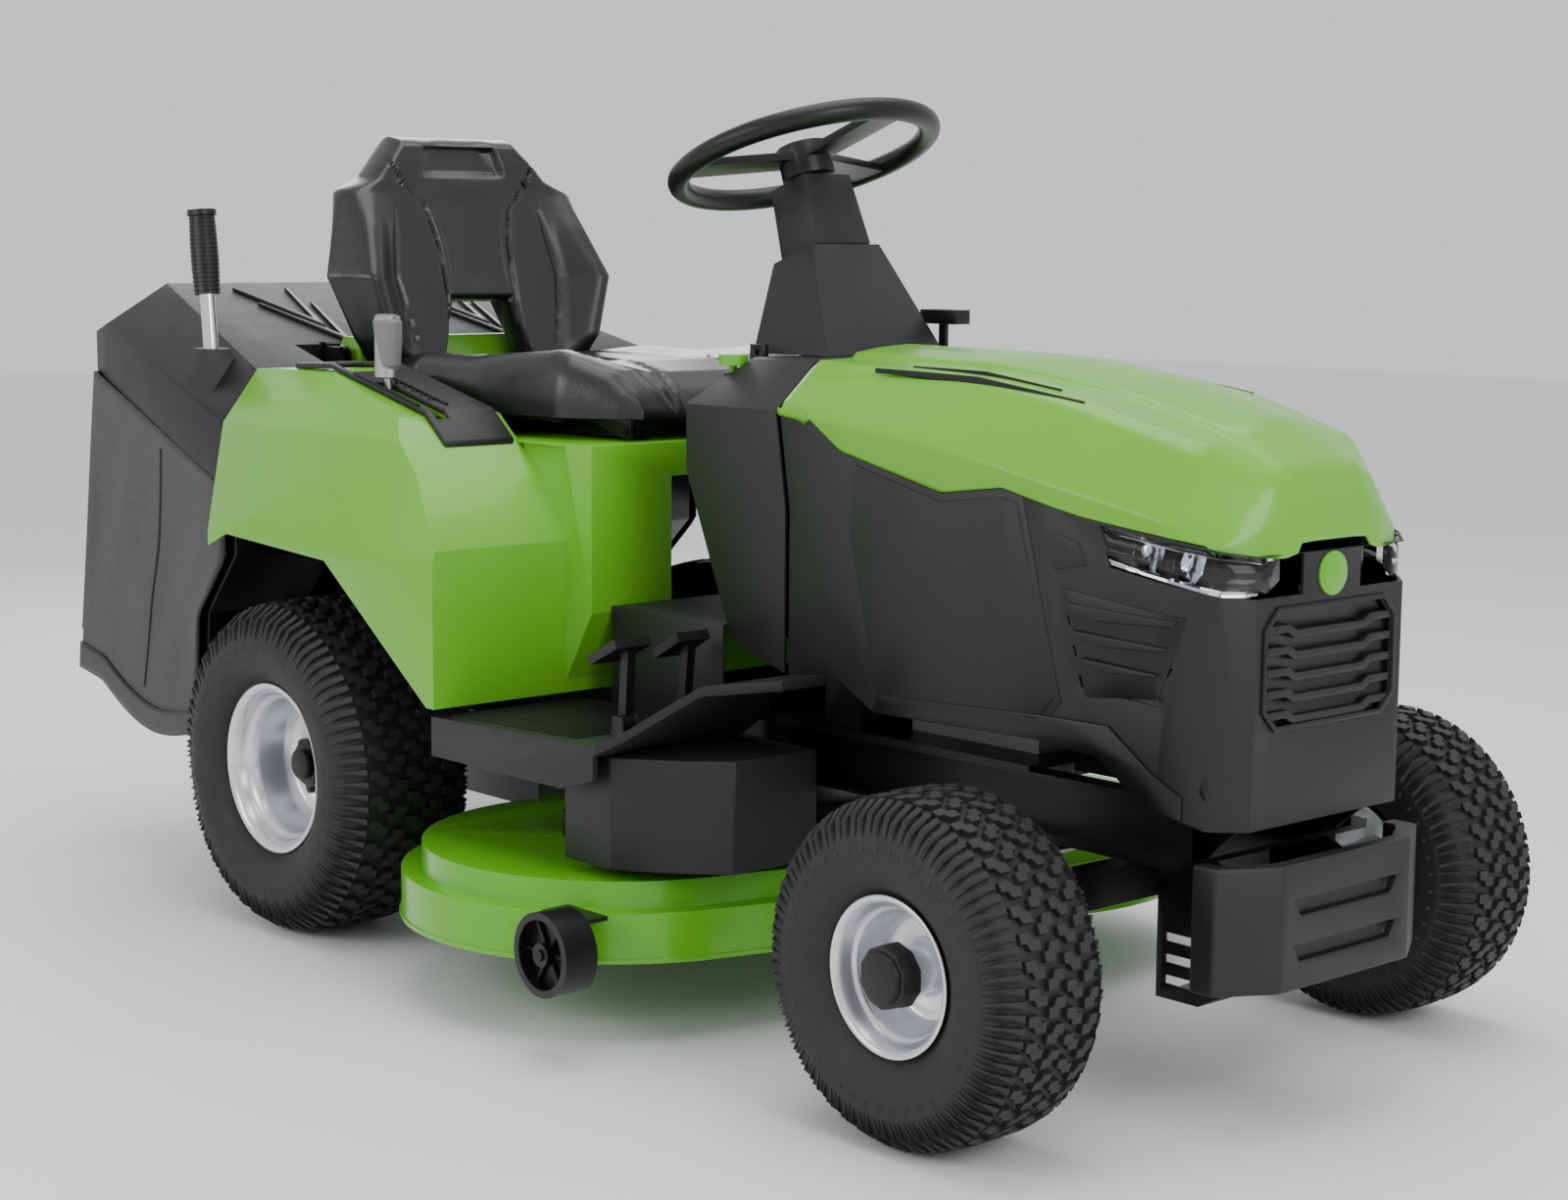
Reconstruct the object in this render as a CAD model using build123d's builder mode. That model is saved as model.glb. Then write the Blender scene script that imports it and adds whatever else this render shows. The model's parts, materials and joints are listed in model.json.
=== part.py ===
"""Riding lawn mower with a twin-blade deck, a tilting hood and a rear grass collector.

Drawn in millimetres: X forward, Y left, Z up. The drawing frame has its origin on the ground under
the rear axle; finish() moves each piece so that the origin is on the ground under the middle of the
whole machine. Each piece is one node, and the pieces that move stand clear of their neighbours.
"""

from build123d import *
import math
import os

os.makedirs("parts", exist_ok=True)

# ---------------------------------------------------------------- driving dimensions

WHEELBASE = 1200.0
COLLECTOR_REAR_X = -690.0
BUMPER_FRONT_X = 1443.0
CENTRE_X = (COLLECTOR_REAR_X + BUMPER_FRONT_X) / 2

SEAM = 0.8            # gap between neighbouring panels
FIT = 0.3             # gap between curved faces that only sit together
RUNNING = 0.05        # radial clearance of a turning fit
SIDES = {"right": -1, "left": 1}

FRONT_TYRE_RADIUS = 190.0
FRONT_TYRE_WIDTH = 166.0
FRONT_WHEEL_Y = 388.0
FRONT_BEAD_RADIUS = 76.0
FRONT_LIP_RADIUS = 87.0
FRONT_RIM_HALF = 68.0
REAR_TYRE_RADIUS = 228.0
REAR_TYRE_WIDTH = 210.0
REAR_WHEEL_Y = 373.0
REAR_BEAD_RADIUS = 102.0
REAR_LIP_RADIUS = 117.0
REAR_RIM_HALF = 84.0
TYRE_WALL = 13.0

RAIL_Y = 140.0
RAIL_FLANGE = 30.0
RAIL_WALL = 4.0
RAIL_BOTTOM = 290.0
RAIL_HEIGHT = 70.0
RAIL_TOP = RAIL_BOTTOM + RAIL_HEIGHT
RAIL_FRONT_X = 1342.0
PLATE = 6.0

REAR_PLATE_X = -145.0
REAR_PLATE_THICKNESS = 5.0
HITCH_BORE_RADIUS = 9.5
HITCH_X = -182.0

KINGPIN_Y = 270.0
KINGPIN_RADIUS = 10.0
AXLE_PIVOT_Z = 237.0
AXLE_PIVOT_RADIUS = 10.0
STEERING_ARM_X = 90.0
TIE_ROD_Z = 258.0
STUB_RADIUS = 9.5
REAR_SHAFT_RADIUS = 12.5

STEERING_CENTRE = (564.0, 0.0, 1051.0)
STEERING_TILT = 19.6
STEERING_RADIUS = 164.0
STEERING_TUBE = 14.0
SHAFT_RADIUS = 9.0
SHAFT_LENGTH = 616.0

SHELL = 4.0           # wall of the large plastic and sheet covers
HOOD_PIVOT = (1380.0, 345.0)
HOOD_PIN_RADIUS = 6.0
COLLECTOR_PIVOT = (-215.0, 772.0)
COLLECTOR_PIN_RADIUS = 8.0

SEAT_HALF_WIDTH = 244.0
SEAT_HINGE = (412.0, 697.0)

DECK_RADIUS = 282.0
DECK_FLANGE = 3.0
DOME_Y = 248.0
RIGHT_DOME_X = 506.0
DOME_STAGGER = 140.0
DECK_BOTTOM = 100.0
DECK_TOP = 193.0
DECK_WALL = 3.0
BLADE_RADIUS = 252.0
BLADE_Z = 118.0
BLADE_SHAFT_RADIUS = 12.5
GAUGE_RADIUS = 50.0
GAUGE_WIDTH = 45.0
GAUGE_Y = 520.0
GAUGE_Z = 130.0

LEVER_PIVOT = (132.0, 520.0)
LEVER_Y = -350.0
LIFT_SHAFT_RADIUS = 8.0
HANGER_RADIUS = 6.0
HANGER_Y = 184.0
HANGER_X = {"right": (425.0, 620.0), "left": (520.0, 735.0)}
HANDLE_Y = -383.0

PEDAL_PIN_RADIUS = 5.0


# ---------------------------------------------------------------- drawing helpers

def slab_xz(points, y_low, y_high, mode=Mode.ADD):
    """An outline in X and Z, filled from y_low to y_high."""
    with BuildSketch(Plane.XZ.offset(-y_high)) as outline:
        with BuildLine():
            Polyline(*points, close=True)
        make_face()
    extrude(outline.sketch, amount=y_high - y_low, mode=mode)


def slab_xy(points, z_low, z_high, mode=Mode.ADD):
    """An outline in X and Y, filled from z_low to z_high."""
    with BuildSketch(Plane.XY.offset(z_low)) as outline:
        with BuildLine():
            Polyline(*points, close=True)
        make_face()
    extrude(outline.sketch, amount=z_high - z_low, mode=mode)


def slab_yz(points, x_low, x_high, mode=Mode.ADD):
    """An outline in Y and Z, filled from x_low to x_high."""
    with BuildSketch(Plane.YZ.offset(x_low)) as outline:
        with BuildLine():
            Polyline(*points, close=True)
        make_face()
    extrude(outline.sketch, amount=x_high - x_low, mode=mode)


def block(x_range, y_range, z_range, mode=Mode.ADD):
    """A box given by its limits along each axis."""
    middle = [(low + high) / 2 for low, high in (x_range, y_range, z_range)]
    size = [high - low for low, high in (x_range, y_range, z_range)]
    with Locations(Location(tuple(middle))):
        Box(*size, mode=mode)


def rod(start, end, radius, mode=Mode.ADD):
    """A round bar between two points."""
    run = Vector(*end) - Vector(*start)
    with BuildSketch(Plane(origin=start, z_dir=run)) as section:
        Circle(radius)
    extrude(section.sketch, amount=run.length, mode=mode)


def both(limits, side):
    """Limits across the machine, given for the left side and turned over for the right."""
    low, high = limits
    return (low, high) if side > 0 else (-high, -low)


def mirrored(points):
    """A symmetric outline in Y from the points of its left half, in order."""
    return list(points) + [(-y, z) for y, z in reversed(points)]


def finish(piece, name):
    """Label a piece, move it to the machine's own origin and write it."""
    piece.part.label = name
    placed = piece.part.moved(Location((-CENTRE_X, 0, 0)))
    placed.label = name
    export_step(placed, f"parts/{name}.step")


def wheel_axis(x, z):
    return Axis((x, 0, z), (0, 1, 0))


def wheel_plane(x, y, z):
    """The radial half-plane of a wheel: local X runs along the axle, local Y outwards."""
    return Plane(origin=(x, y, z), x_dir=(0, 1, 0), z_dir=(1, 0, 0))


# ---------------------------------------------------------------- wheels

def make_tyre(name, x, y, radius, width, bead, lip, rim_half):
    """A hollow tyre, open at the bead, with a step on each side for the rim's lip."""
    height = radius - bead
    corner = height * 0.34
    with BuildPart() as tyre:
        with BuildSketch(wheel_plane(x, y, radius)) as section:
            with Locations((0, bead + height / 2)):
                RectangleRounded(width, height, corner)
                RectangleRounded(width - 2 * TYRE_WALL, height - 2 * TYRE_WALL, corner - TYRE_WALL,
                                 mode=Mode.SUBTRACT)
            with Locations((0, bead + TYRE_WALL / 2)):
                Rectangle(width - 2 * TYRE_WALL - 2 * corner, 2 * TYRE_WALL, mode=Mode.SUBTRACT)
            step = width / 2 - (rim_half - LIP_THICKNESS - FIT)
            for end in (-1, 1):
                with Locations((end * (width - step) / 2, (bead + lip + FIT) / 2)):
                    Rectangle(step, lip + FIT - bead, mode=Mode.SUBTRACT)
        revolve(axis=wheel_axis(x, radius))
    finish(tyre, name)


LIP_THICKNESS = 5.0
RIM_BARREL = 4.0


def rim_section(x, y, z, side, bead, lip, rim_half, web_at, hub_radius, hub_limits, bore):
    """Barrel, two lips, dished web and bored hub of a wheel, seen as a half section."""
    with BuildSketch(wheel_plane(x, y, z)) as section:
        with Locations((0, bead - FIT - RIM_BARREL / 2)):
            Rectangle(2 * rim_half, RIM_BARREL)
        for end in (-1, 1):
            with Locations((end * (rim_half - LIP_THICKNESS / 2), (bead - RIM_BARREL + lip) / 2)):
                Rectangle(LIP_THICKNESS, lip - bead + RIM_BARREL)
        with Locations((side * web_at, (bead - RIM_BARREL / 2 + hub_radius - 2) / 2)):
            Rectangle(RIM_BARREL, bead - RIM_BARREL / 2 - hub_radius + 2)
        low, high = both(hub_limits, side)
        with Locations(((low + high) / 2, (bore + hub_radius) / 2)):
            Rectangle(high - low, hub_radius - bore)
    return section.sketch


FRONT_HUB = (-58.0, 50.0)
FRONT_HUB_RADIUS = 24.0
CAP_LENGTH = 30.0
CAP_RADIUS = 36.0
CAP_WALL = 4.0

for side_name, side in SIDES.items():
    make_tyre(f"front_tyre_{side_name}", WHEELBASE, side * FRONT_WHEEL_Y, FRONT_TYRE_RADIUS,
              FRONT_TYRE_WIDTH, FRONT_BEAD_RADIUS, FRONT_LIP_RADIUS, FRONT_RIM_HALF)
    make_tyre(f"rear_tyre_{side_name}", 0, side * REAR_WHEEL_Y, REAR_TYRE_RADIUS,
              REAR_TYRE_WIDTH, REAR_BEAD_RADIUS, REAR_LIP_RADIUS, REAR_RIM_HALF)

    with BuildPart() as front_rim:
        revolve(rim_section(WHEELBASE, side * FRONT_WHEEL_Y, FRONT_TYRE_RADIUS, side, FRONT_BEAD_RADIUS,
                            FRONT_LIP_RADIUS, FRONT_RIM_HALF, 0, FRONT_HUB_RADIUS, FRONT_HUB,
                            STUB_RADIUS + RUNNING),
                axis=wheel_axis(WHEELBASE, FRONT_TYRE_RADIUS))
        cap_start = FRONT_WHEEL_Y + FRONT_HUB[1]
        cap_end = cap_start + CAP_LENGTH
        rod((WHEELBASE, side * cap_start, FRONT_TYRE_RADIUS), (WHEELBASE, side * cap_end, FRONT_TYRE_RADIUS),
            CAP_RADIUS)
        rod((WHEELBASE, side * cap_start, FRONT_TYRE_RADIUS),
            (WHEELBASE, side * (cap_end - CAP_WALL), FRONT_TYRE_RADIUS), CAP_RADIUS - CAP_WALL - 12,
            mode=Mode.SUBTRACT)
    finish(front_rim, f"front_rim_{side_name}")

REAR_HUB = (-70.0, 30.0)
REAR_HUB_RADIUS = 34.0
REAR_WEB_AT = -8.0
AXLE_TUBE_END = 250.0
AXLE_TUBE_RADIUS = 30.0
SHAFT_START = 175.0

for side_name, side in SIDES.items():
    with BuildPart() as rear_rim:
        revolve(rim_section(0, side * REAR_WHEEL_Y, REAR_TYRE_RADIUS, side, REAR_BEAD_RADIUS,
                            REAR_LIP_RADIUS, REAR_RIM_HALF, REAR_WEB_AT, REAR_HUB_RADIUS, REAR_HUB,
                            REAR_SHAFT_RADIUS - 1),
                axis=wheel_axis(0, REAR_TYRE_RADIUS))
        hub_face = side * (REAR_WHEEL_Y + REAR_HUB[1])
        rod((0, side * SHAFT_START, REAR_TYRE_RADIUS), (0, hub_face, REAR_TYRE_RADIUS), REAR_SHAFT_RADIUS)
        rod((0, hub_face, REAR_TYRE_RADIUS), (0, hub_face + side * 10, REAR_TYRE_RADIUS), 22)
    finish(rear_rim, f"rear_rim_{side_name}")


# ---------------------------------------------------------------- frame

def channel(side):
    """Outline of a frame rail: a channel that opens outwards."""
    inner = side * RAIL_Y
    web = side * (RAIL_Y + RAIL_WALL)
    outer = side * (RAIL_Y + RAIL_FLANGE)
    return [(inner, RAIL_BOTTOM), (outer, RAIL_BOTTOM), (outer, RAIL_BOTTOM + RAIL_WALL),
            (web, RAIL_BOTTOM + RAIL_WALL), (web, RAIL_TOP - RAIL_WALL), (outer, RAIL_TOP - RAIL_WALL),
            (outer, RAIL_TOP), (inner, RAIL_TOP)]


RAIL_OUT = RAIL_Y + RAIL_FLANGE
EYE_DEPTH = 8.0

with BuildPart() as frame_rails:
    for side_name, side in SIDES.items():
        slab_yz(channel(side), REAR_PLATE_X, RAIL_FRONT_X)
        for x in HANGER_X[side_name]:
            block((x - 14, x + 14), both((RAIL_OUT - 4, HANGER_Y + 12), side),
                    (RAIL_BOTTOM, RAIL_BOTTOM + EYE_DEPTH))
            rod((x, side * HANGER_Y, RAIL_BOTTOM - 1), (x, side * HANGER_Y, RAIL_BOTTOM + EYE_DEPTH + 1),
                HANGER_RADIUS + FIT, mode=Mode.SUBTRACT)
    # the height lever's shaft stands out from the right rail on a post
    x, z = LEVER_PIVOT
    rod((x, LEVER_Y - 14, z), (x, -RAIL_OUT - 16, z), LIFT_SHAFT_RADIUS)
    block((x - 14, x + 14), (-RAIL_OUT - 16, -RAIL_OUT - 10), (RAIL_TOP - 30, z + 14))
    block((x - 14, x + 14), (-RAIL_OUT - 16, -RAIL_Y - 1), (RAIL_TOP - 30, RAIL_TOP - 24))
finish(frame_rails, "frame_rails")

PIVOT_PLATES = ((WHEELBASE - 38, WHEELBASE - 31), (WHEELBASE + 31, WHEELBASE + 38))

tilt = math.radians(STEERING_TILT)
SHAFT_DIRECTION = Vector(math.sin(tilt), 0, -math.cos(tilt))
WHEEL_CENTRE = Vector(*STEERING_CENTRE)


def along_shaft(distance):
    """A point on the steering axis, measured down from the wheel's centre."""
    return tuple(WHEEL_CENTRE + SHAFT_DIRECTION * distance)


ENGINE_PLATE_X = (700.0, 1130.0)
ENGINE_BASE = RAIL_TOP + PLATE
GEARBOX_DEPTH = 34.0
CRANK_X = 985.0
CRANK_RADIUS = 45.0

with BuildPart() as frame_cross_plates:
    block((1140, RAIL_FRONT_X), (-RAIL_OUT, RAIL_OUT), (RAIL_BOTTOM - PLATE, RAIL_BOTTOM))
    for limits in PIVOT_PLATES:
        block(limits, (-34, 34), (AXLE_PIVOT_Z - 28, RAIL_BOTTOM - PLATE))
    rod((WHEELBASE - 46, 0, AXLE_PIVOT_Z), (WHEELBASE + 46, 0, AXLE_PIVOT_Z), AXLE_PIVOT_RADIUS)
    hinge_x, hinge_z = HOOD_PIVOT
    for side in SIDES.values():
        slab_xz([(1300, RAIL_BOTTOM), (1340, RAIL_BOTTOM), (hinge_x + 10, hinge_z - 12),
                (hinge_x + 10, hinge_z + 10),
                 (hinge_x - 14, hinge_z + 10), (1300, 330)], *both((110, 116), side))
    rod((hinge_x, -122, hinge_z), (hinge_x, 122, hinge_z), HOOD_PIN_RADIUS)
    block(ENGINE_PLATE_X, (-RAIL_OUT, RAIL_OUT), (RAIL_TOP, ENGINE_BASE))
    rod((CRANK_X, 0, RAIL_TOP - 1), (CRANK_X, 0, ENGINE_BASE + 1), CRANK_RADIUS + FIT, mode=Mode.SUBTRACT)
    gearbox_x, _, shaft_end_z = along_shaft(SHAFT_LENGTH)
    block((gearbox_x - 36, gearbox_x + 30), (-32, 32), (ENGINE_BASE, shaft_end_z + GEARBOX_DEPTH))
    rod(along_shaft(SHAFT_LENGTH - 80), along_shaft(SHAFT_LENGTH + 2), SHAFT_RADIUS + RUNNING,
            mode=Mode.SUBTRACT)
finish(frame_cross_plates, "frame_cross_plates")

# ---------------------------------------------------------------- engine and drive

CRANKCASE_X = (885.0, 1090.0)
HEAD_X = 1190.0
CRANKCASE_TOP = 500.0

with BuildPart() as engine:
    block(CRANKCASE_X, (-110, 110), (ENGINE_BASE, CRANKCASE_TOP))
    block((CRANKCASE_X[1], HEAD_X), (-70, 70), (400, 492))
    for fin in range(6):
        fin_x = CRANKCASE_X[1] + 14 + fin * 13
        block((fin_x, fin_x + 5), (-84, 84), (392, 497))
    rod((CRANK_X, 0, RAIL_BOTTOM), (CRANK_X, 0, ENGINE_BASE), CRANK_RADIUS)
finish(engine, "engine")

with BuildPart() as engine_cowl:
    rod((CRANK_X, 0, CRANKCASE_TOP), (CRANK_X, 0, 612), 128)
    block((CRANK_X, 1172), (-88, 88), (CRANKCASE_TOP, 580))
    block((CRANKCASE_X[0] + 10, 1060), (60, 150), (520, 650))
finish(engine_cowl, "engine_cowl")

with BuildPart() as muffler:
    rod((1265, -105, 432), (1265, 105, 432), 46)
    rod((HEAD_X, 30, 432), (1240, 30, 432), 14)
finish(muffler, "muffler")

TANK_X = (792.0, 852.0)
with BuildPart() as fuel_tank:
    block(TANK_X, (-165, -40), (ENGINE_BASE, 590))
    rod((822, -102, 590), (822, -102, 612), 26)
finish(fuel_tank, "fuel_tank")

with BuildPart() as transaxle:
    block((-100, 150), (-118, 118), (150, 270))
    rod((0, -AXLE_TUBE_END, REAR_TYRE_RADIUS), (0, AXLE_TUBE_END, REAR_TYRE_RADIUS), AXLE_TUBE_RADIUS)
    for side in SIDES.values():
        block((-20, 20), both((RAIL_Y + 2, RAIL_OUT - 2), side), (REAR_TYRE_RADIUS, RAIL_BOTTOM))
        rod((0, side * (SHAFT_START - 5), REAR_TYRE_RADIUS),
                (0, side * (AXLE_TUBE_END + 1), REAR_TYRE_RADIUS),
            REAR_SHAFT_RADIUS + RUNNING, mode=Mode.SUBTRACT)
finish(transaxle, "transaxle")

# ---------------------------------------------------------------- rear plate, chute and hitch

CHUTE_HALF = 125.0
CHUTE_WALL = 3.0
CHUTE_EXIT = (425.0, 615.0)
BRACKET_Y = (204.0, 210.0)
PIVOT_X, PIVOT_Z = COLLECTOR_PIVOT
REAR_PLATE_BACK = REAR_PLATE_X - REAR_PLATE_THICKNESS

with BuildPart() as rear_plate:
    block((REAR_PLATE_BACK, REAR_PLATE_X), (-250, 250), (RAIL_BOTTOM, 680))
    block((REAR_PLATE_BACK, REAR_PLATE_X), (-CHUTE_HALF + CHUTE_WALL, CHUTE_HALF - CHUTE_WALL),
          CHUTE_EXIT, mode=Mode.SUBTRACT)
    for side in SIDES.values():
        slab_xz([(REAR_PLATE_BACK, 600), (REAR_PLATE_BACK, 680), (PIVOT_X + 14, PIVOT_Z + 14),
                 (PIVOT_X - 14, PIVOT_Z + 14), (PIVOT_X - 14, PIVOT_Z - 14), (REAR_PLATE_BACK - 30, 640)],
                *both(BRACKET_Y, side))
        rod((PIVOT_X, side * 186, PIVOT_Z), (PIVOT_X, side * BRACKET_Y[1], PIVOT_Z), COLLECTOR_PIN_RADIUS)
    block((HITCH_X - 22, REAR_PLATE_BACK), (-45, 45), (RAIL_BOTTOM, RAIL_BOTTOM + 8))
    with Locations(Location((HITCH_X, 0, RAIL_BOTTOM + 4))):
        Cylinder(HITCH_BORE_RADIUS, 20, mode=Mode.SUBTRACT)
finish(rear_plate, "rear_plate")

CHUTE_MOUTH = (205.0, 355.0)
CHUTE_MOUTH_Z = 240.0


def chute_outline(inset, overrun):
    """Side view of the sloping discharge duct, from the deck up to the rear plate."""
    front, back = CHUTE_MOUTH[1] - inset, CHUTE_MOUTH[0] + inset
    return [(back, CHUTE_MOUTH_Z - overrun), (back - 22, 292 + inset),
            (REAR_PLATE_X - overrun, CHUTE_EXIT[0] - CHUTE_WALL + inset),
            (REAR_PLATE_X - overrun, CHUTE_EXIT[1] + CHUTE_WALL - inset), (front - 22, 345 - inset),
            (front, CHUTE_MOUTH_Z - overrun)]


with BuildPart() as discharge_chute:
    slab_xz(chute_outline(0, 0), -CHUTE_HALF, CHUTE_HALF)
    slab_xz(chute_outline(CHUTE_WALL, 1), -CHUTE_HALF + CHUTE_WALL, CHUTE_HALF - CHUTE_WALL,
            mode=Mode.SUBTRACT)
finish(discharge_chute, "discharge_chute")

# ---------------------------------------------------------------- front axle and steering gear

BEAM_HALF_DEPTH = 21.0
HOUSING_Z = (206.0, 268.0)
ARM_Z = (268.5, 276.5)

with BuildPart() as front_axle_beam:
    block((WHEELBASE - 18, WHEELBASE + 18), (-KINGPIN_Y, KINGPIN_Y),
          (AXLE_PIVOT_Z - BEAM_HALF_DEPTH, AXLE_PIVOT_Z + BEAM_HALF_DEPTH))
    rod((WHEELBASE - 30, 0, AXLE_PIVOT_Z), (WHEELBASE + 30, 0, AXLE_PIVOT_Z), 27)
    rod((WHEELBASE - 31, 0, AXLE_PIVOT_Z), (WHEELBASE + 31, 0, AXLE_PIVOT_Z), AXLE_PIVOT_RADIUS + RUNNING,
        mode=Mode.SUBTRACT)
    for side in SIDES.values():
        rod((WHEELBASE, side * KINGPIN_Y, HOUSING_Z[0]), (WHEELBASE, side * KINGPIN_Y, HOUSING_Z[1]), 21)
        rod((WHEELBASE, side * KINGPIN_Y, HOUSING_Z[0] - 1), (WHEELBASE, side * KINGPIN_Y, HOUSING_Z[1] + 1),
            KINGPIN_RADIUS + RUNNING, mode=Mode.SUBTRACT)
finish(front_axle_beam, "front_axle_beam")

STUB_END = 442.0
TIE_PIN_RADIUS = 5.0
TIE_PIN_CLEARANCE = {"right": 0.8, "left": RUNNING}   # the linkage is open at its right pin
ARM_END_X = WHEELBASE - STEERING_ARM_X
ARM_END_Y = KINGPIN_Y

for side_name, side in SIDES.items():
    with BuildPart() as steering_knuckle:
        rod((WHEELBASE, side * KINGPIN_Y, 176), (WHEELBASE, side * KINGPIN_Y, ARM_Z[1]), KINGPIN_RADIUS)
        block((WHEELBASE - 17, WHEELBASE + 17), both((KINGPIN_Y - 17, KINGPIN_Y + 30), side),
              (173, HOUSING_Z[0] - 0.5))
        rod((WHEELBASE, side * (KINGPIN_Y + 20), FRONT_TYRE_RADIUS),
                (WHEELBASE, side * STUB_END, FRONT_TYRE_RADIUS),
            STUB_RADIUS)
        slab_xy([(WHEELBASE + 14, side * (KINGPIN_Y - 16)), (WHEELBASE + 14, side * (KINGPIN_Y + 16)),
                 (ARM_END_X - 12, side * (ARM_END_Y + 12)), (ARM_END_X - 12, side * (ARM_END_Y - 12))],
                 *ARM_Z)
        rod((ARM_END_X, side * ARM_END_Y, TIE_ROD_Z - 12), (ARM_END_X, side * ARM_END_Y, ARM_Z[0]),
                TIE_PIN_RADIUS)
    finish(steering_knuckle, f"steering_knuckle_{side_name}")

with BuildPart() as tie_rod:
    rod((ARM_END_X, -ARM_END_Y + 8, TIE_ROD_Z), (ARM_END_X, ARM_END_Y - 8, TIE_ROD_Z), 6)
    for side_name, side in SIDES.items():
        rod((ARM_END_X, side * ARM_END_Y, TIE_ROD_Z - 8), (ARM_END_X, side * ARM_END_Y, TIE_ROD_Z + 8), 11)
    for side_name, side in SIDES.items():
        rod((ARM_END_X, side * ARM_END_Y, TIE_ROD_Z - 9), (ARM_END_X, side * ARM_END_Y, TIE_ROD_Z + 9),
            TIE_PIN_RADIUS + TIE_PIN_CLEARANCE[side_name], mode=Mode.SUBTRACT)
finish(tie_rod, "tie_rod")

# ---------------------------------------------------------------- bumper and its bracket

BUMPER_Z = (160.0, 298.0)
BRACKET_FACE_X = BUMPER_FRONT_X - 22
BUMPER_OUTER = [(BUMPER_FRONT_X, -113), (BUMPER_FRONT_X, 113), (1404, 178), (1372, 178), (1372, 156),
        (1392, 156),
                (BRACKET_FACE_X, 105), (BRACKET_FACE_X, -105), (1392, -156), (1372, -156), (1372, -178),
                (1404, -178)]

with BuildPart() as bumper:
    slab_xy(BUMPER_OUTER, *BUMPER_Z)
    for slot_z in (200, 250):
        slab_yz([(-80, slot_z - 9), (80, slot_z - 9), (92, slot_z + 9), (-92, slot_z + 9)],
                BRACKET_FACE_X + 10, BUMPER_FRONT_X + 1, mode=Mode.SUBTRACT)
finish(bumper, "bumper")

BUMPER_BRACKET_X = (1262.0, BRACKET_FACE_X)
with BuildPart() as bumper_bracket:
    for side in SIDES.values():
        slab_xz([(BUMPER_BRACKET_X[0], RAIL_BOTTOM - PLATE), (BUMPER_BRACKET_X[0], 118),
                (BUMPER_BRACKET_X[0] + 60, 118),
                 (BUMPER_BRACKET_X[1], 172), (BUMPER_BRACKET_X[1], 250), (1340, RAIL_BOTTOM - PLATE)],
                *both((96, 100), side))
    block((BUMPER_BRACKET_X[1] - 4, BUMPER_BRACKET_X[1]), (-100, 100), (172, 250))
    block((BUMPER_BRACKET_X[0], BUMPER_BRACKET_X[0] + 60), (-100, 100), (118, 122))
    for row in range(3):
        with Locations(Location((1292, 0, 140 + row * 24))):
            Box(36, 220, 10, mode=Mode.SUBTRACT)
finish(bumper_bracket, "bumper_bracket")

# ---------------------------------------------------------------- hood: one lofted shell, cut into its panels

HOOD_REAR_X = 757.0
# distance forward, half width, edge height, shoulder half width, shoulder height, ridge height
HOOD_STATIONS = [(HOOD_REAR_X, 212, 746, 150, 800, 818), (1015, 213, 722, 150, 793, 817),
                 (1185, 208, 690, 148, 770, 796), (1324, 184, 660, 132, 735, 760),
                 (1380, 158, 640, 112, 712, 740), (1408, 128, 624, 84, 700, 728)]
HOOD_FLOOR = 300.0


def hood_volume(inset):
    """The solid under the hood's skin, drawn in by inset on every face but the rear."""
    with BuildPart() as volume:
        for index, (x, half, edge, shoulder, shoulder_z, ridge) in enumerate(HOOD_STATIONS):
            at = x
            if index == 0:
                at = x - (10 if inset else 0)
            if index == len(HOOD_STATIONS) - 1:
                at = x - inset
            with BuildSketch(Plane.YZ.offset(at)):
                with BuildLine():
                    Polyline(*mirrored([(half - inset, HOOD_FLOOR - (5 if inset else 0)),
                                        (half - inset, edge - inset / 2),
                                        (shoulder - inset / 2, shoulder_z - inset), (20, ridge - inset)]),
                                        close=True)
                make_face()
        loft(ruled=True)
    return volume.part


HOOD_OUTER = hood_volume(0)
HOOD_INNER = hood_volume(SHELL)
HOOD_EDGE = [(HOOD_REAR_X, 748), (800, 743), (863, 703), (1029, 667), (1119, 679), (1150, 672), (1227, 655),
             (1330, 640), (1440, 616)]
FASCIA_SEAM = [(1150, 672), (1207, 452), (1172, 407)]
SPLIT = HOOD_EDGE.index(FASCIA_SEAM[0])


def lowered(points, drop=SEAM):
    return [(x, z - drop) for x, z in points]


def moved_forward(points, step):
    return [(x + step, z) for x, z in points]


def hood_shell():
    add(HOOD_OUTER)
    add(HOOD_INNER, mode=Mode.SUBTRACT)


with BuildPart() as hood_top:
    hood_shell()
    slab_xz(HOOD_EDGE + [(1440, 900), (HOOD_REAR_X, 900)], -300, 300, mode=Mode.INTERSECT)
finish(hood_top, "hood_top")

PANEL_FLOOR = [(924, 403), (857, 438), (776, 427), (776, 628)]
with BuildPart() as hood_panels:
    hood_shell()
    slab_xz(lowered(HOOD_EDGE[:SPLIT]) + lowered(FASCIA_SEAM[:1], SEAM) + FASCIA_SEAM[1:] + PANEL_FLOOR,
            -300, 300, mode=Mode.INTERSECT)
finish(hood_panels, "hood_panels")

FASCIA_FLOOR = [(1440, 331), (1373, 331), (1305, 355), (1257, 398)]
LAMP_OUTLINE = [(1250, 648), (1430, 618), (1430, 576), (1384, 580), (1264, 604)]
GRILLE_HALF = 108.0
GRILLE_Z = (438.0, 562.0)
GRILLE_CORNER = 20.0
FRONT_FACE_X = HOOD_STATIONS[-1][0]


def octagon(half, z_low, z_high, corner):
    return mirrored([(half - corner, z_low), (half, z_low + corner), (half, z_high - corner),
            (half - corner, z_high)][::-1])


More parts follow.
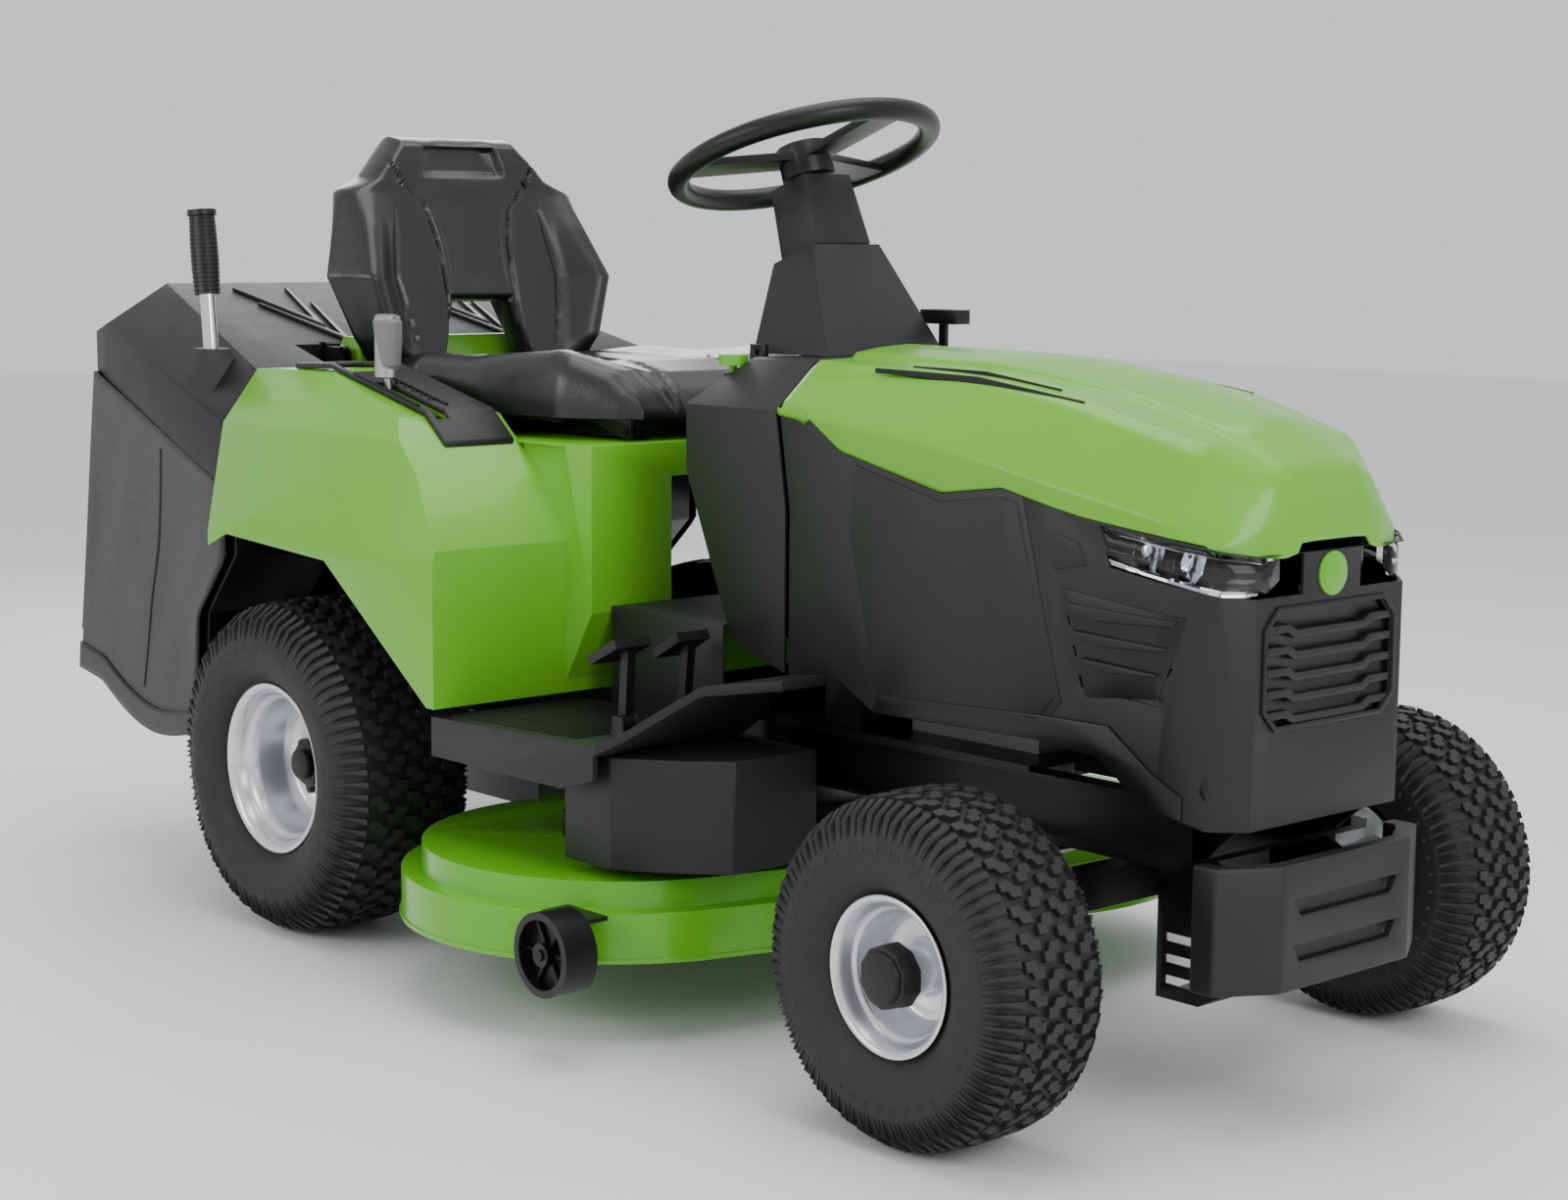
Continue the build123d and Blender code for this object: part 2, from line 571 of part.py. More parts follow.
with BuildPart() as front_fascia:
    hood_shell()
    slab_xz(lowered(HOOD_EDGE[SPLIT:]) + FASCIA_FLOOR + moved_forward(FASCIA_SEAM[:0:-1], SEAM)
            + moved_forward(lowered(FASCIA_SEAM[:1], 2 * SEAM), SEAM), -300, 300, mode=Mode.INTERSECT)
    for side in SIDES.values():
        slab_xz(LAMP_OUTLINE, *both((50, 260), side), mode=Mode.SUBTRACT)
        for vent in range(3):
            top = 548 - vent * 32
            slab_xz([(1212 + vent * 8, top), (1345 - vent * 6, top - 14), (1340 - vent * 6, top - 24),
                    (1216 + vent * 8, top - 12)],
                    *both((120, 260), side), mode=Mode.SUBTRACT)
    slab_yz(octagon(GRILLE_HALF, *GRILLE_Z, GRILLE_CORNER), FRONT_FACE_X - 30, FRONT_FACE_X + 10,
            mode=Mode.SUBTRACT)
    for side in SIDES.values():
        block((HOOD_PIVOT[0] - 13, FRONT_FACE_X - SHELL + 1), both((98, 104), side),
              (HOOD_PIVOT[1] - 13, HOOD_PIVOT[1] + 13))
        rod((HOOD_PIVOT[0], side * 90, HOOD_PIVOT[1]), (HOOD_PIVOT[0], side * 120, HOOD_PIVOT[1]),
            HOOD_PIN_RADIUS + RUNNING, mode=Mode.SUBTRACT)
finish(front_fascia, "front_fascia")

with BuildPart() as grille:
    back = FRONT_FACE_X - SHELL - SEAM
    slab_yz(octagon(GRILLE_HALF + 10, GRILLE_Z[0] - 10, GRILLE_Z[1] + 10, GRILLE_CORNER + 4), back - 6, back)
    slab_yz(octagon(GRILLE_HALF - 4, GRILLE_Z[0] + 4, GRILLE_Z[1] - 4, GRILLE_CORNER), back - 7, back + 1,
            mode=Mode.SUBTRACT)
    for bar in range(5):
        bar_z = GRILLE_Z[0] + 14 + bar * 23
        block((back - 6, back), (-GRILLE_HALF + 3, GRILLE_HALF - 3), (bar_z, bar_z + 9))
finish(grille, "grille")

HOOD_LAMP_INNER = hood_volume(26)
HOOD_LAMP_OUTER = hood_volume(SEAM / 2)
with BuildPart() as headlights:
    add(HOOD_LAMP_OUTER)
    add(HOOD_LAMP_INNER, mode=Mode.SUBTRACT)
    slab_xz([(1251, 647.2), (1430, 617.3), (1430, 576.7), (1384.5, 580.7), (1264.7, 604.6)], -300, 300,
            mode=Mode.INTERSECT)
    block((1200, 1440), (-50.6, 50.6), (500, 700), mode=Mode.SUBTRACT)
finish(headlights, "headlights")

# ---------------------------------------------------------------- dash and steering column

DASH_TOP = 802.0
DASH_FRONT_X = HOOD_REAR_X - 5
DASH_HALF = 214.0


def dash_volume(inset, front=0):
    """The dash's solid body, drawn in by inset; front carries the inner cut through the open front."""
    with BuildPart() as volume:
        slab_xz([(587 + inset, 662), (587 + inset, 746 - inset / 2), (640, DASH_TOP - inset),
                 (DASH_FRONT_X + front, DASH_TOP + 2 - inset), (DASH_FRONT_X + front, 745),
                 (770 + front, 628),
                 (770 + front, 430 - front), (672 + inset, 463 - front), (641 + inset, 533)], -300, 300)
        slab_yz(mirrored([(DASH_HALF - inset, 380), (DASH_HALF - inset, 744 - inset / 2),
                (152 - inset / 2, 800 - inset),
                          (20, 830 - inset)]), 500, 820, mode=Mode.INTERSECT)
    return volume.part


KEY_AT = (612.0, -117.0)
KNOB_AT = (608.0, -156.0)
THROTTLE_PIVOT = (700.0, 772.0)
THROTTLE_Y = 120.0
COLUMN_BASE_Z = DASH_TOP + 2
BORE_CLEARANCE = 3.0

DASH_INNER = dash_volume(SHELL, 10)
with BuildPart() as dash_cowl:
    add(dash_volume(0))
    add(DASH_INNER, mode=Mode.SUBTRACT)
    rod(along_shaft(120), along_shaft(420), SHAFT_RADIUS + BORE_CLEARANCE, mode=Mode.SUBTRACT)
    block((THROTTLE_PIVOT[0] - 26, THROTTLE_PIVOT[0] + 20), (THROTTLE_Y - 3.6, THROTTLE_Y + 3.6), (790, 830),
          mode=Mode.SUBTRACT)
    for x, y, radius in ((*KEY_AT, 12), (*KNOB_AT, 11)):
        rod((x, y, 735), (x, y, 782), radius)
    for x, y, radius in ((*KEY_AT, 5 + RUNNING), (*KNOB_AT, 5 + RUNNING)):
        rod((x, y, 730), (x, y, 790), radius, mode=Mode.SUBTRACT)
finish(dash_cowl, "dash_cowl")

COLUMN_SPLIT = 131.0
COLUMN_TOP = 36.0
shaft_plane = Plane(origin=along_shaft(COLUMN_SPLIT), x_dir=(math.cos(tilt), 0, math.sin(tilt)),
                    z_dir=(-math.sin(tilt), 0, math.cos(tilt)))
with BuildPart() as steering_column:
    with BuildSketch(Plane.XY.offset(COLUMN_BASE_Z)):
        with Locations((652, 0)):
            Rectangle(140, 200)
    with BuildSketch(shaft_plane):
        Rectangle(76, 116)
    loft(ruled=True)
    with BuildSketch(shaft_plane.offset(2)):
        Rectangle(70, 92)
    with BuildSketch(shaft_plane.offset(COLUMN_SPLIT - COLUMN_TOP)):
        Rectangle(66, 78)
    loft(ruled=True)
    with BuildSketch(shaft_plane.offset(-1)):
        Rectangle(64, 84)
    extrude(amount=4)
    rod(along_shaft(COLUMN_TOP - 5), along_shaft(300), SHAFT_RADIUS + BORE_CLEARANCE,
        mode=Mode.SUBTRACT)
finish(steering_column, "steering_column")

wheel_tilt_plane = Plane(origin=STEERING_CENTRE, x_dir=(math.cos(tilt), 0, math.sin(tilt)),
                         z_dir=(-math.sin(tilt), 0, math.cos(tilt)))
SPOKE_ANGLES = (0.0, 105.0, 255.0)
SPOKE_WIDTH = 44.0
HUB_RADIUS = 34.0
with BuildPart() as steering_wheel:
    with BuildSketch(Plane(origin=tuple(WHEEL_CENTRE + wheel_tilt_plane.x_dir * STEERING_RADIUS),
                           z_dir=(0, 1, 0))):
        Circle(STEERING_TUBE)
    revolve(axis=Axis(STEERING_CENTRE, tuple(wheel_tilt_plane.z_dir)))
    with BuildSketch(wheel_tilt_plane.offset(-10)):
        for angle in SPOKE_ANGLES:
            with Locations(Location((0, 0), angle)):
                with Locations((STEERING_RADIUS / 2, 0)):
                    Rectangle(STEERING_RADIUS, SPOKE_WIDTH)
    extrude(amount=10)
    with BuildSketch(wheel_tilt_plane.offset(-30)):
        Circle(HUB_RADIUS)
    extrude(amount=42)
    with BuildSketch(wheel_tilt_plane.offset(-31)):
        Circle(SHAFT_RADIUS + FIT)
    extrude(amount=33, mode=Mode.SUBTRACT)
finish(steering_wheel, "steering_wheel")

with BuildPart() as steering_shaft:
    rod(along_shaft(0), along_shaft(SHAFT_LENGTH), SHAFT_RADIUS)
finish(steering_shaft, "steering_shaft")

# ---------------------------------------------------------------- controls

with BuildPart() as throttle_lever:
    x, z = THROTTLE_PIVOT
    rod((x, THROTTLE_Y - 4, z), (x, THROTTLE_Y + 4, z), 10)
    block((x - 6, x + 6), (THROTTLE_Y - 3, THROTTLE_Y + 3), (z, z + 70))
    block((x - 30, x + 34), (THROTTLE_Y - 13, THROTTLE_Y + 13), (z + 68, z + 86))
finish(throttle_lever, "throttle_lever")

with BuildPart() as ignition_key:
    rod((*KEY_AT, 745), (*KEY_AT, 791), 5)
    block((KEY_AT[0] - 14, KEY_AT[0] + 14), (KEY_AT[1] - 3, KEY_AT[1] + 3), (789.5, 816))
    rod((KEY_AT[0], KEY_AT[1] - 4, 806), (KEY_AT[0], KEY_AT[1] + 4, 806), 4, mode=Mode.SUBTRACT)
finish(ignition_key, "ignition_key")

with BuildPart() as blade_knob:
    rod((*KNOB_AT, 740), (*KNOB_AT, 793), 5)
    rod((*KNOB_AT, 791), (*KNOB_AT, 804), 18)
finish(blade_knob, "blade_knob")

# ---------------------------------------------------------------- footboards, step and pedals

BOARD_TOP = 358.0
BOARD_THICKNESS = 12.0
BOARD_IN_Y = 221.6
BOARD_REAR_X = 372.0
BOARD_PLAN = [(BOARD_REAR_X, BOARD_IN_Y), (BOARD_REAR_X, 450), (705, 450), (742, 418), (800, 350),
        (852, 290), (852, BOARD_IN_Y)]
BOARD_SIDE = [(BOARD_REAR_X, BOARD_TOP - 8), (700, BOARD_TOP), (736, BOARD_TOP + 24), (790, BOARD_TOP + 74),
        (858, BOARD_TOP + 82)]
SKIRT_DEPTH = 58.0

# position forward, limits across, pad length and the arm's lean
PEDALS = {"forward_pedal": (655.0, (-392.0, -338.0), 40.0, 6.0),
          "reverse_pedal": (655.0, (-300.0, -250.0), 34.0, 10.0),
          "brake_pedal": (655.0, (292.0, 372.0), 40.0, 8.0)}
PEDAL_PIN_Z = BOARD_TOP + 14

with BuildPart() as footboards:
    for side in SIDES.values():
        slab_xz(BOARD_SIDE + lowered(BOARD_SIDE[::-1], BOARD_THICKNESS), *both((BOARD_IN_Y, 450), side))
        slab_xz([(BOARD_REAR_X, BOARD_TOP - 8), (700, BOARD_TOP), (700, BOARD_TOP - 40),
                (640, BOARD_TOP - SKIRT_DEPTH),
                 (BOARD_REAR_X, BOARD_TOP - SKIRT_DEPTH)], *both((442, 450), side))
    with BuildSketch(Plane.XY.offset(250)) as plan:
        for side in SIDES.values():
            with BuildLine():
                Polyline(*[(x, side * y) for x, y in BOARD_PLAN], close=True)
            make_face()
    extrude(plan.sketch, amount=250, mode=Mode.INTERSECT)
    for pedal_x, pedal_y, _, _ in PEDALS.values():
        middle = sum(pedal_y) / 2
        for end in (-1, 1):
            slab_xz([(pedal_x - 12, BOARD_TOP - 6), (pedal_x + 12, BOARD_TOP - 6),
                    (pedal_x + 9, PEDAL_PIN_Z + 8),
                     (pedal_x - 9, PEDAL_PIN_Z + 8)], middle + end * 11 - 2, middle + end * 11 + 2)
        rod((pedal_x, middle - 13, PEDAL_PIN_Z), (pedal_x, middle + 13, PEDAL_PIN_Z), PEDAL_PIN_RADIUS)
finish(footboards, "footboards")

SHROUD_X = (612.0, 815.0)
SHROUD_TOP = BOARD_TOP - BOARD_THICKNESS - 3
SHROUD_FLOOR = {"right": 208.0, "left": 250.0}
SHROUD_PLAN = [(SHROUD_X[0], 200), (SHROUD_X[0], 424), (700, 424), (760, 380), (SHROUD_X[1], 330),
        (SHROUD_X[1], 200)]
SHROUD_INNER = [(SHROUD_X[0] + 4, 190), (SHROUD_X[0] + 4, 420), (699, 420), (757, 376),
        (SHROUD_X[1] - 4, 328),
                (SHROUD_X[1] - 4, 190)]
with BuildPart() as side_shrouds:
    for side_name, side in SIDES.items():
        slab_xy([(x, side * y) for x, y in SHROUD_PLAN], SHROUD_FLOOR[side_name], SHROUD_TOP)
        slab_xy([(x, side * y) for x, y in SHROUD_INNER], SHROUD_FLOOR[side_name] - 1, SHROUD_TOP - 4,
                mode=Mode.SUBTRACT)
finish(side_shrouds, "side_shrouds")

STEP_X = (446.5, 664.7)
STEP_TOP = 478.0
STEP_HALF = 221.0
STEP_FLOOR = 362.0
with BuildPart() as centre_step:
    block(STEP_X, (-STEP_HALF, STEP_HALF), (STEP_FLOOR, STEP_TOP))
    block((STEP_X[0] + SHELL, STEP_X[1] + 1), (-STEP_HALF + SHELL, STEP_HALF - SHELL),
            (STEP_FLOOR - 1, STEP_TOP - SHELL),
          mode=Mode.SUBTRACT)
    block((STEP_X[0] - 1, STEP_X[0] + SHELL + 1), (-150, 150), (STEP_FLOOR - 1, 440), mode=Mode.SUBTRACT)
    for side in SIDES.values():
        block((STEP_X[0], STEP_X[1]), both((RAIL_Y, STEP_HALF), side), (RAIL_TOP, STEP_FLOOR))
        block((STEP_X[0], STEP_X[1]), both((STEP_HALF - SHELL, STEP_HALF), side), (344, STEP_FLOOR))
finish(centre_step, "centre_step")

PEDAL_RISE = 74.0


def make_pedal(name, x, y_limits, pad_length, lean):
    """A pad on an arm that rises from a pin in two ears on the footboard."""
    middle = sum(y_limits) / 2
    pin_z = PEDAL_PIN_Z
    with BuildPart() as pedal:
        rod((x, middle - 8, pin_z), (x, middle + 8, pin_z), 11)
        slab_xz([(x - 7, pin_z), (x + 7, pin_z), (x + 7 + lean, pin_z + PEDAL_RISE + 16),
                (x - 7 + lean, pin_z + PEDAL_RISE + 10)],
                middle - 6, middle + 6)
        slab_xz([(x + lean - pad_length, pin_z + PEDAL_RISE - 6), (x + lean + 12, pin_z + PEDAL_RISE + 20),
                 (x + lean + 6, pin_z + PEDAL_RISE + 30),
                 (x + lean - pad_length - 4, pin_z + PEDAL_RISE + 4)], *y_limits)
        rod((x, middle - 20, pin_z), (x, middle + 20, pin_z), PEDAL_PIN_RADIUS + RUNNING, mode=Mode.SUBTRACT)
    finish(pedal, name)


for pedal_name, (pedal_x, pedal_y, pad, lean_x) in PEDALS.items():
    make_pedal(pedal_name, pedal_x, pedal_y, pad, lean_x)

# ---------------------------------------------------------------- rear fender, console and seat carrier

FENDER_REAR_X = -150.0
FENDER_HALF = 460.0
WELL_HALF = 252.0
WELL_FLOOR = 684.0
HUMP_HALF = 180.0


def fender_volume(inset):
    """The fender's body: two wings over the tyres, joined by the seat's well and a hump behind it."""
    over = 2 if inset else 0
    with BuildPart() as volume:
        slab_xz([(FENDER_REAR_X - over, 520 - over), (FENDER_REAR_X - over, 762 - inset), (30, 768 - inset),
                 (250 - inset, 716 - inset), (330 - inset, 650 - inset), (392 - inset, 560),
                 (392 - inset, 362 - over),
                 (376, 362 - over - inset), (145, 526 - over - inset), (-102, 540 - over - inset)],
                 -300 - 200, 300 + 200)
        slab_yz(mirrored([(FENDER_HALF - inset, 300), (FENDER_HALF - inset, 540), (432 - inset, 690 - inset),
                          (374 - inset / 2, 764 - inset), (300, 790)]), FENDER_REAR_X - 5, 500,
                          mode=Mode.INTERSECT)
        slab_xz([(392 - inset - 10, 362 - over), (445 - inset, 470), (445 - inset, WELL_FLOOR - inset),
                 (300, WELL_FLOOR - inset)], -WELL_HALF + inset, WELL_HALF - inset)
    return volume.part


FENDER_INNER = fender_volume(SHELL)
LEVER_SLOT = (118.0, 262.0)
with BuildPart() as rear_fender:
    add(fender_volume(0))
    add(FENDER_INNER, mode=Mode.SUBTRACT)
    block((FENDER_REAR_X - 5, 500), (-WELL_HALF, WELL_HALF), (WELL_FLOOR, 900), mode=Mode.SUBTRACT)
    block((FENDER_REAR_X, 390), (-WELL_HALF - SHELL, WELL_HALF + SHELL), (WELL_FLOOR - SHELL, WELL_FLOOR))
    for side in SIDES.values():
        slab_xz([(FENDER_REAR_X, WELL_FLOOR - SHELL), (FENDER_REAR_X, 752), (30, 758), (240, 708),
                (256, WELL_FLOOR - SHELL)],
                *both((WELL_HALF, WELL_HALF + SHELL), side))
    slab_xz([(-255, WELL_FLOOR - SHELL), (-255, 770), (-235, 800), (-200, 800), (-188, 770),
            (-188, WELL_FLOOR),
             (FENDER_REAR_X, WELL_FLOOR), (FENDER_REAR_X, WELL_FLOOR - SHELL)], -HUMP_HALF, HUMP_HALF)
    slab_xz([(-251, WELL_FLOOR - SHELL - 1), (-251, 768), (-233, 796), (-202, 796), (-192, 768),
            (-192, WELL_FLOOR - SHELL - 1)],
            -HUMP_HALF + SHELL, HUMP_HALF - SHELL, mode=Mode.SUBTRACT)
    block((440, 450), (-120, 120), (300, 640), mode=Mode.SUBTRACT)
    block(LEVER_SLOT, (LEVER_Y - 9, LEVER_Y + 9), (600, 800), mode=Mode.SUBTRACT)
finish(rear_fender, "rear_fender")

CONSOLE_RISE = 8.0
CONSOLE_TOP = [(-60, 765.3), (30, 768.3), (250, 716.3), (296, 678.3)]
with BuildPart() as height_console:
    slab_xz(CONSOLE_TOP + [(x, z + CONSOLE_RISE) for x, z in reversed(CONSOLE_TOP)], -372, -262)
    slab_xz([(-40, 768), (30, 771.5), (70, 764), (70, 800), (-40, 800)], -362, -292, mode=Mode.SUBTRACT)
    slab_xz([(x, z - 5) for x, z in ((-40, 768), (30, 770.5), (70, 763))] + [(70, 790), (-40, 790)], -362,
            -292,
            mode=Mode.SUBTRACT)
    block(LEVER_SLOT, (LEVER_Y - 9, LEVER_Y + 9), (600, 800), mode=Mode.SUBTRACT)
finish(height_console, "height_console")

LEVER_TOP = (135.0, 842.0)
with BuildPart() as height_lever:
    x, z = LEVER_PIVOT
    rod((x, LEVER_Y - 8, z), (x, LEVER_Y + 8, z), 15)
    rod((x, LEVER_Y, z), (LEVER_TOP[0], LEVER_Y, LEVER_TOP[1] - 60), 6)
    rod((LEVER_TOP[0] - 1, LEVER_Y, LEVER_TOP[1] - 80), (LEVER_TOP[0], LEVER_Y, LEVER_TOP[1]), 17)
    rod((x, LEVER_Y - 9, z), (x, LEVER_Y + 9, z), 8 + RUNNING, mode=Mode.SUBTRACT)
finish(height_lever, "height_lever")

# ---------------------------------------------------------------- seat

SEAT_PIN_RADIUS = 4.0
with BuildPart() as seat_rails:
    for side in SIDES.values():
        block((40, 400), both((120, 136), side), (WELL_FLOOR + SEAM, WELL_FLOOR + 3))
        block((40, 400), both((120, 124), side), (WELL_FLOOR + SEAM, WELL_FLOOR + 12))
finish(seat_rails, "seat_rails")

with BuildPart() as seat_slide:
    hinge_x, hinge_z = SEAT_HINGE
    for side in SIDES.values():
        block((60, 310), both((125, 150), side), (WELL_FLOOR + 3.4, WELL_FLOOR + 9))
    block((280, 310), (-150, 150), (WELL_FLOOR + 12.6, WELL_FLOOR + 15))
    for side in SIDES.values():
        block((280, 310), both((125, 150), side), (WELL_FLOOR + 3.4, WELL_FLOOR + 15))
        block((300, 310), both((150, 156), side), (WELL_FLOOR + 3.4, WELL_FLOOR + 15))
        slab_xz([(292, hinge_z - 9), (310, hinge_z - 9), (hinge_x + 10, hinge_z - 7),
                (hinge_x + 10, hinge_z + 8),
                 (hinge_x - 10, hinge_z + 8), (292, hinge_z + 2)], *both((156, 160), side))
        rod((hinge_x, side * 158, hinge_z), (hinge_x, side * 172, hinge_z), SEAT_PIN_RADIUS)
finish(seat_slide, "seat_slide")

PAN_Z = (WELL_FLOOR + 22, WELL_FLOOR + 28)
with BuildPart() as seat_pan:
    block((-80, 380), (-170, 170), PAN_Z)
    for side in SIDES.values():
        slab_xz([(340, PAN_Z[0]), (hinge_x - 8, hinge_z - 8), (hinge_x + 8, hinge_z - 8),
                (hinge_x + 8, PAN_Z[1]),
                 (340, PAN_Z[1])], *both((163, 169), side))
        rod((hinge_x, side * 160, hinge_z), (hinge_x, side * 172, hinge_z), SEAT_PIN_RADIUS + RUNNING,
            mode=Mode.SUBTRACT)
finish(seat_pan, "seat_pan")

CUSHION_BOTTOM = PAN_Z[1] + FIT
with BuildPart() as seat_cushion:
    slab_xz([(-110, CUSHION_BOTTOM), (-118, 775), (-40, 780), (120, 775), (300, 792), (380, 775),
            (420, 730), (420, CUSHION_BOTTOM)],
            -300, 300)
    slab_xy([(-130, -190), (-130, 190), (20, 240), (180, 240), (330, 222), (425, 150), (425, -150),
            (330, -222), (180, -240),
             (20, -240)], 600, 900, mode=Mode.INTERSECT)
finish(seat_cushion, "seat_cushion")

BACK_OUTLINE = [(150, CUSHION_BOTTOM), (215, 800), (SEAT_HALF_WIDTH, 888), (202, 1012), (160, 1026),
        (102, 1090)]
with BuildPart() as seat_back:
    slab_xz([(-118.5, CUSHION_BOTTOM), (-118.5, 776), (-150, 900), (-205, 1090), (-262, 1082), (-215, 900),
            (-180, 790), (-180, CUSHION_BOTTOM)],
            -300, 300)
    slab_yz(mirrored(BACK_OUTLINE), -300, 0, mode=Mode.INTERSECT)
    for side in SIDES.values():
        slab_xz([(-119, 778), (-90, 800), (-104, 888), (-180, 1012), (-196, 1012), (-150, 888)],
                *both((176, 214), side))
    slab_yz([(-70, 776), (70, 776), (45, 850), (-45, 850)], -300, 0, mode=Mode.SUBTRACT)
finish(seat_back, "seat_back")

# ---------------------------------------------------------------- cutting deck

DOMES = {"right": (RIGHT_DOME_X, -DOME_Y), "left": (RIGHT_DOME_X + DOME_STAGGER, DOME_Y)}
stagger_angle = math.atan2(2 * DOME_Y, DOME_STAGGER)


def twin_plan(radius):
    """Both domes and the straight flanks that touch them, as one outline."""
    start = Vector(*DOMES["right"])
    end = Vector(*DOMES["left"])
    across = Vector(math.sin(stagger_angle), -math.cos(stagger_angle)) * radius
    with BuildSketch() as plan:
        for centre in DOMES.values():
            with Locations(centre):
                Circle(radius)
        with BuildLine():
            Polyline(*[tuple(corner)[:2] for corner in (start + across, end + across, end - across,
                    start - across)],
                     close=True)
        make_face()
    return plan.sketch


TUNNEL_X = (212.0, 520.0)
TUNNEL_HALF = 114.0
COLLAR_X = (214.0, 326.0)
COLLAR_TOP = 262.0
DECK_STEP = 26.0
DECK_STEP_Z = 160.0

with BuildPart() as deck_shell:
    extrude(Pos(0, 0, DECK_BOTTOM) * twin_plan(DECK_RADIUS + DECK_FLANGE), amount=6)
    extrude(Pos(0, 0, DECK_BOTTOM) * twin_plan(DECK_RADIUS), amount=DECK_STEP_Z - DECK_BOTTOM)
    extrude(Pos(0, 0, DECK_STEP_Z) * twin_plan(DECK_RADIUS - DECK_STEP), amount=DECK_TOP - DECK_STEP_Z)
    block(TUNNEL_X, (-TUNNEL_HALF, TUNNEL_HALF), (DECK_BOTTOM, DECK_TOP))
    block(COLLAR_X, (-TUNNEL_HALF, TUNNEL_HALF), (DECK_TOP, COLLAR_TOP))
    extrude(Pos(0, 0, DECK_BOTTOM - 1) * twin_plan(DECK_RADIUS - DECK_WALL),
            amount=DECK_STEP_Z - DECK_BOTTOM - DECK_WALL + 1,
            mode=Mode.SUBTRACT)
    extrude(Pos(0, 0, DECK_STEP_Z - DECK_WALL) * twin_plan(DECK_RADIUS - DECK_STEP - DECK_WALL),
            amount=DECK_TOP - DECK_STEP_Z, mode=Mode.SUBTRACT)
    block((TUNNEL_X[0] + DECK_WALL, TUNNEL_X[1]), (-TUNNEL_HALF + DECK_WALL, TUNNEL_HALF - DECK_WALL),
          (DECK_BOTTOM - 1, DECK_TOP - DECK_WALL), mode=Mode.SUBTRACT)
    block((COLLAR_X[0] + DECK_WALL, COLLAR_X[1] - DECK_WALL),
            (-TUNNEL_HALF + DECK_WALL, TUNNEL_HALF - DECK_WALL),
          (DECK_TOP - 10, COLLAR_TOP + 1), mode=Mode.SUBTRACT)
    for x, y in DOMES.values():
        rod((x, y, 158), (x, y, DECK_TOP), 30)
        rod((x, y, DECK_TOP - DECK_WALL), (x, y, DECK_TOP + 5), 46)
        rod((x, y, 150), (x, y, 210), BLADE_SHAFT_RADIUS + RUNNING, mode=Mode.SUBTRACT)
finish(deck_shell, "deck_shell")

PULLEY_Z = (DECK_TOP + 7, DECK_TOP + 21)
PULLEY_RADIUS = 56.0
COVER_TOP = DECK_TOP + 32
COVER_RADIUS = 78.0

with BuildPart() as belt_cover:
    extrude(Pos(0, 0, DECK_TOP + FIT) * twin_plan(COVER_RADIUS), amount=COVER_TOP - DECK_TOP)
    extrude(Pos(0, 0, DECK_TOP) * twin_plan(COVER_RADIUS - DECK_WALL),
            amount=COVER_TOP - DECK_TOP - DECK_WALL,
            mode=Mode.SUBTRACT)
finish(belt_cover, "belt_cover")

BLADE_WIDTH = 52.0
BLADE_ANGLES = {"right": 20.0, "left": 110.0}
for side_name, (x, y) in DOMES.items():
    with BuildPart() as blade:
        with BuildSketch(Plane.XY.offset(BLADE_Z)):
            with Locations(Location((x, y), BLADE_ANGLES[side_name])):
                Rectangle(2 * BLADE_RADIUS, BLADE_WIDTH)
            with Locations((x, y)):
                Circle(BLADE_RADIUS, mode=Mode.INTERSECT)
        extrude(amount=5)
        rod((x, y, BLADE_Z + 5), (x, y, BLADE_Z + 12), 34)
        rod((x, y, BLADE_Z - 12), (x, y, PULLEY_Z[1]), BLADE_SHAFT_RADIUS)
        rod((x, y, PULLEY_Z[0]), (x, y, PULLEY_Z[1]), PULLEY_RADIUS)
        rod((x, y, BLADE_Z - 14), (x, y, BLADE_Z), 20)
    finish(blade, f"blade_{side_name}")

GAUGE_STAND_OFF = 214.0
GAUGE_AXLE_RADIUS = 7.0
for side_name, (dome_x, dome_y) in DOMES.items():
    side = SIDES[side_name]
    x = dome_x + GAUGE_STAND_OFF
    with BuildPart() as gauge_wheel:
        inner = side * (GAUGE_Y - GAUGE_WIDTH / 2)
        outer = side * (GAUGE_Y + GAUGE_WIDTH / 2)
        rod((x, inner, GAUGE_Z), (x, outer, GAUGE_Z), GAUGE_RADIUS)
        for face, depth in ((inner, side * 16), (outer, -side * 16)):
            rod((x, face - depth * 0.1, GAUGE_Z), (x, face + depth, GAUGE_Z), GAUGE_RADIUS - 9,
                    mode=Mode.SUBTRACT)
            rod((x, face, GAUGE_Z), (x, face + depth, GAUGE_Z), 14)
            for spoke in range(6):
                angle = math.radians(60 * spoke)
                reach = GAUGE_RADIUS - 8
                rod((x, face + depth * 0.8, GAUGE_Z),
                    (x + reach * math.cos(angle), face + depth * 0.8, GAUGE_Z + reach * math.sin(angle)), 3)
        rod((x, inner - side, GAUGE_Z), (x, outer + side, GAUGE_Z), GAUGE_AXLE_RADIUS + RUNNING,
                mode=Mode.SUBTRACT)
    finish(gauge_wheel, f"gauge_wheel_{side_name}")

HANGER_TOP = RAIL_TOP - 2

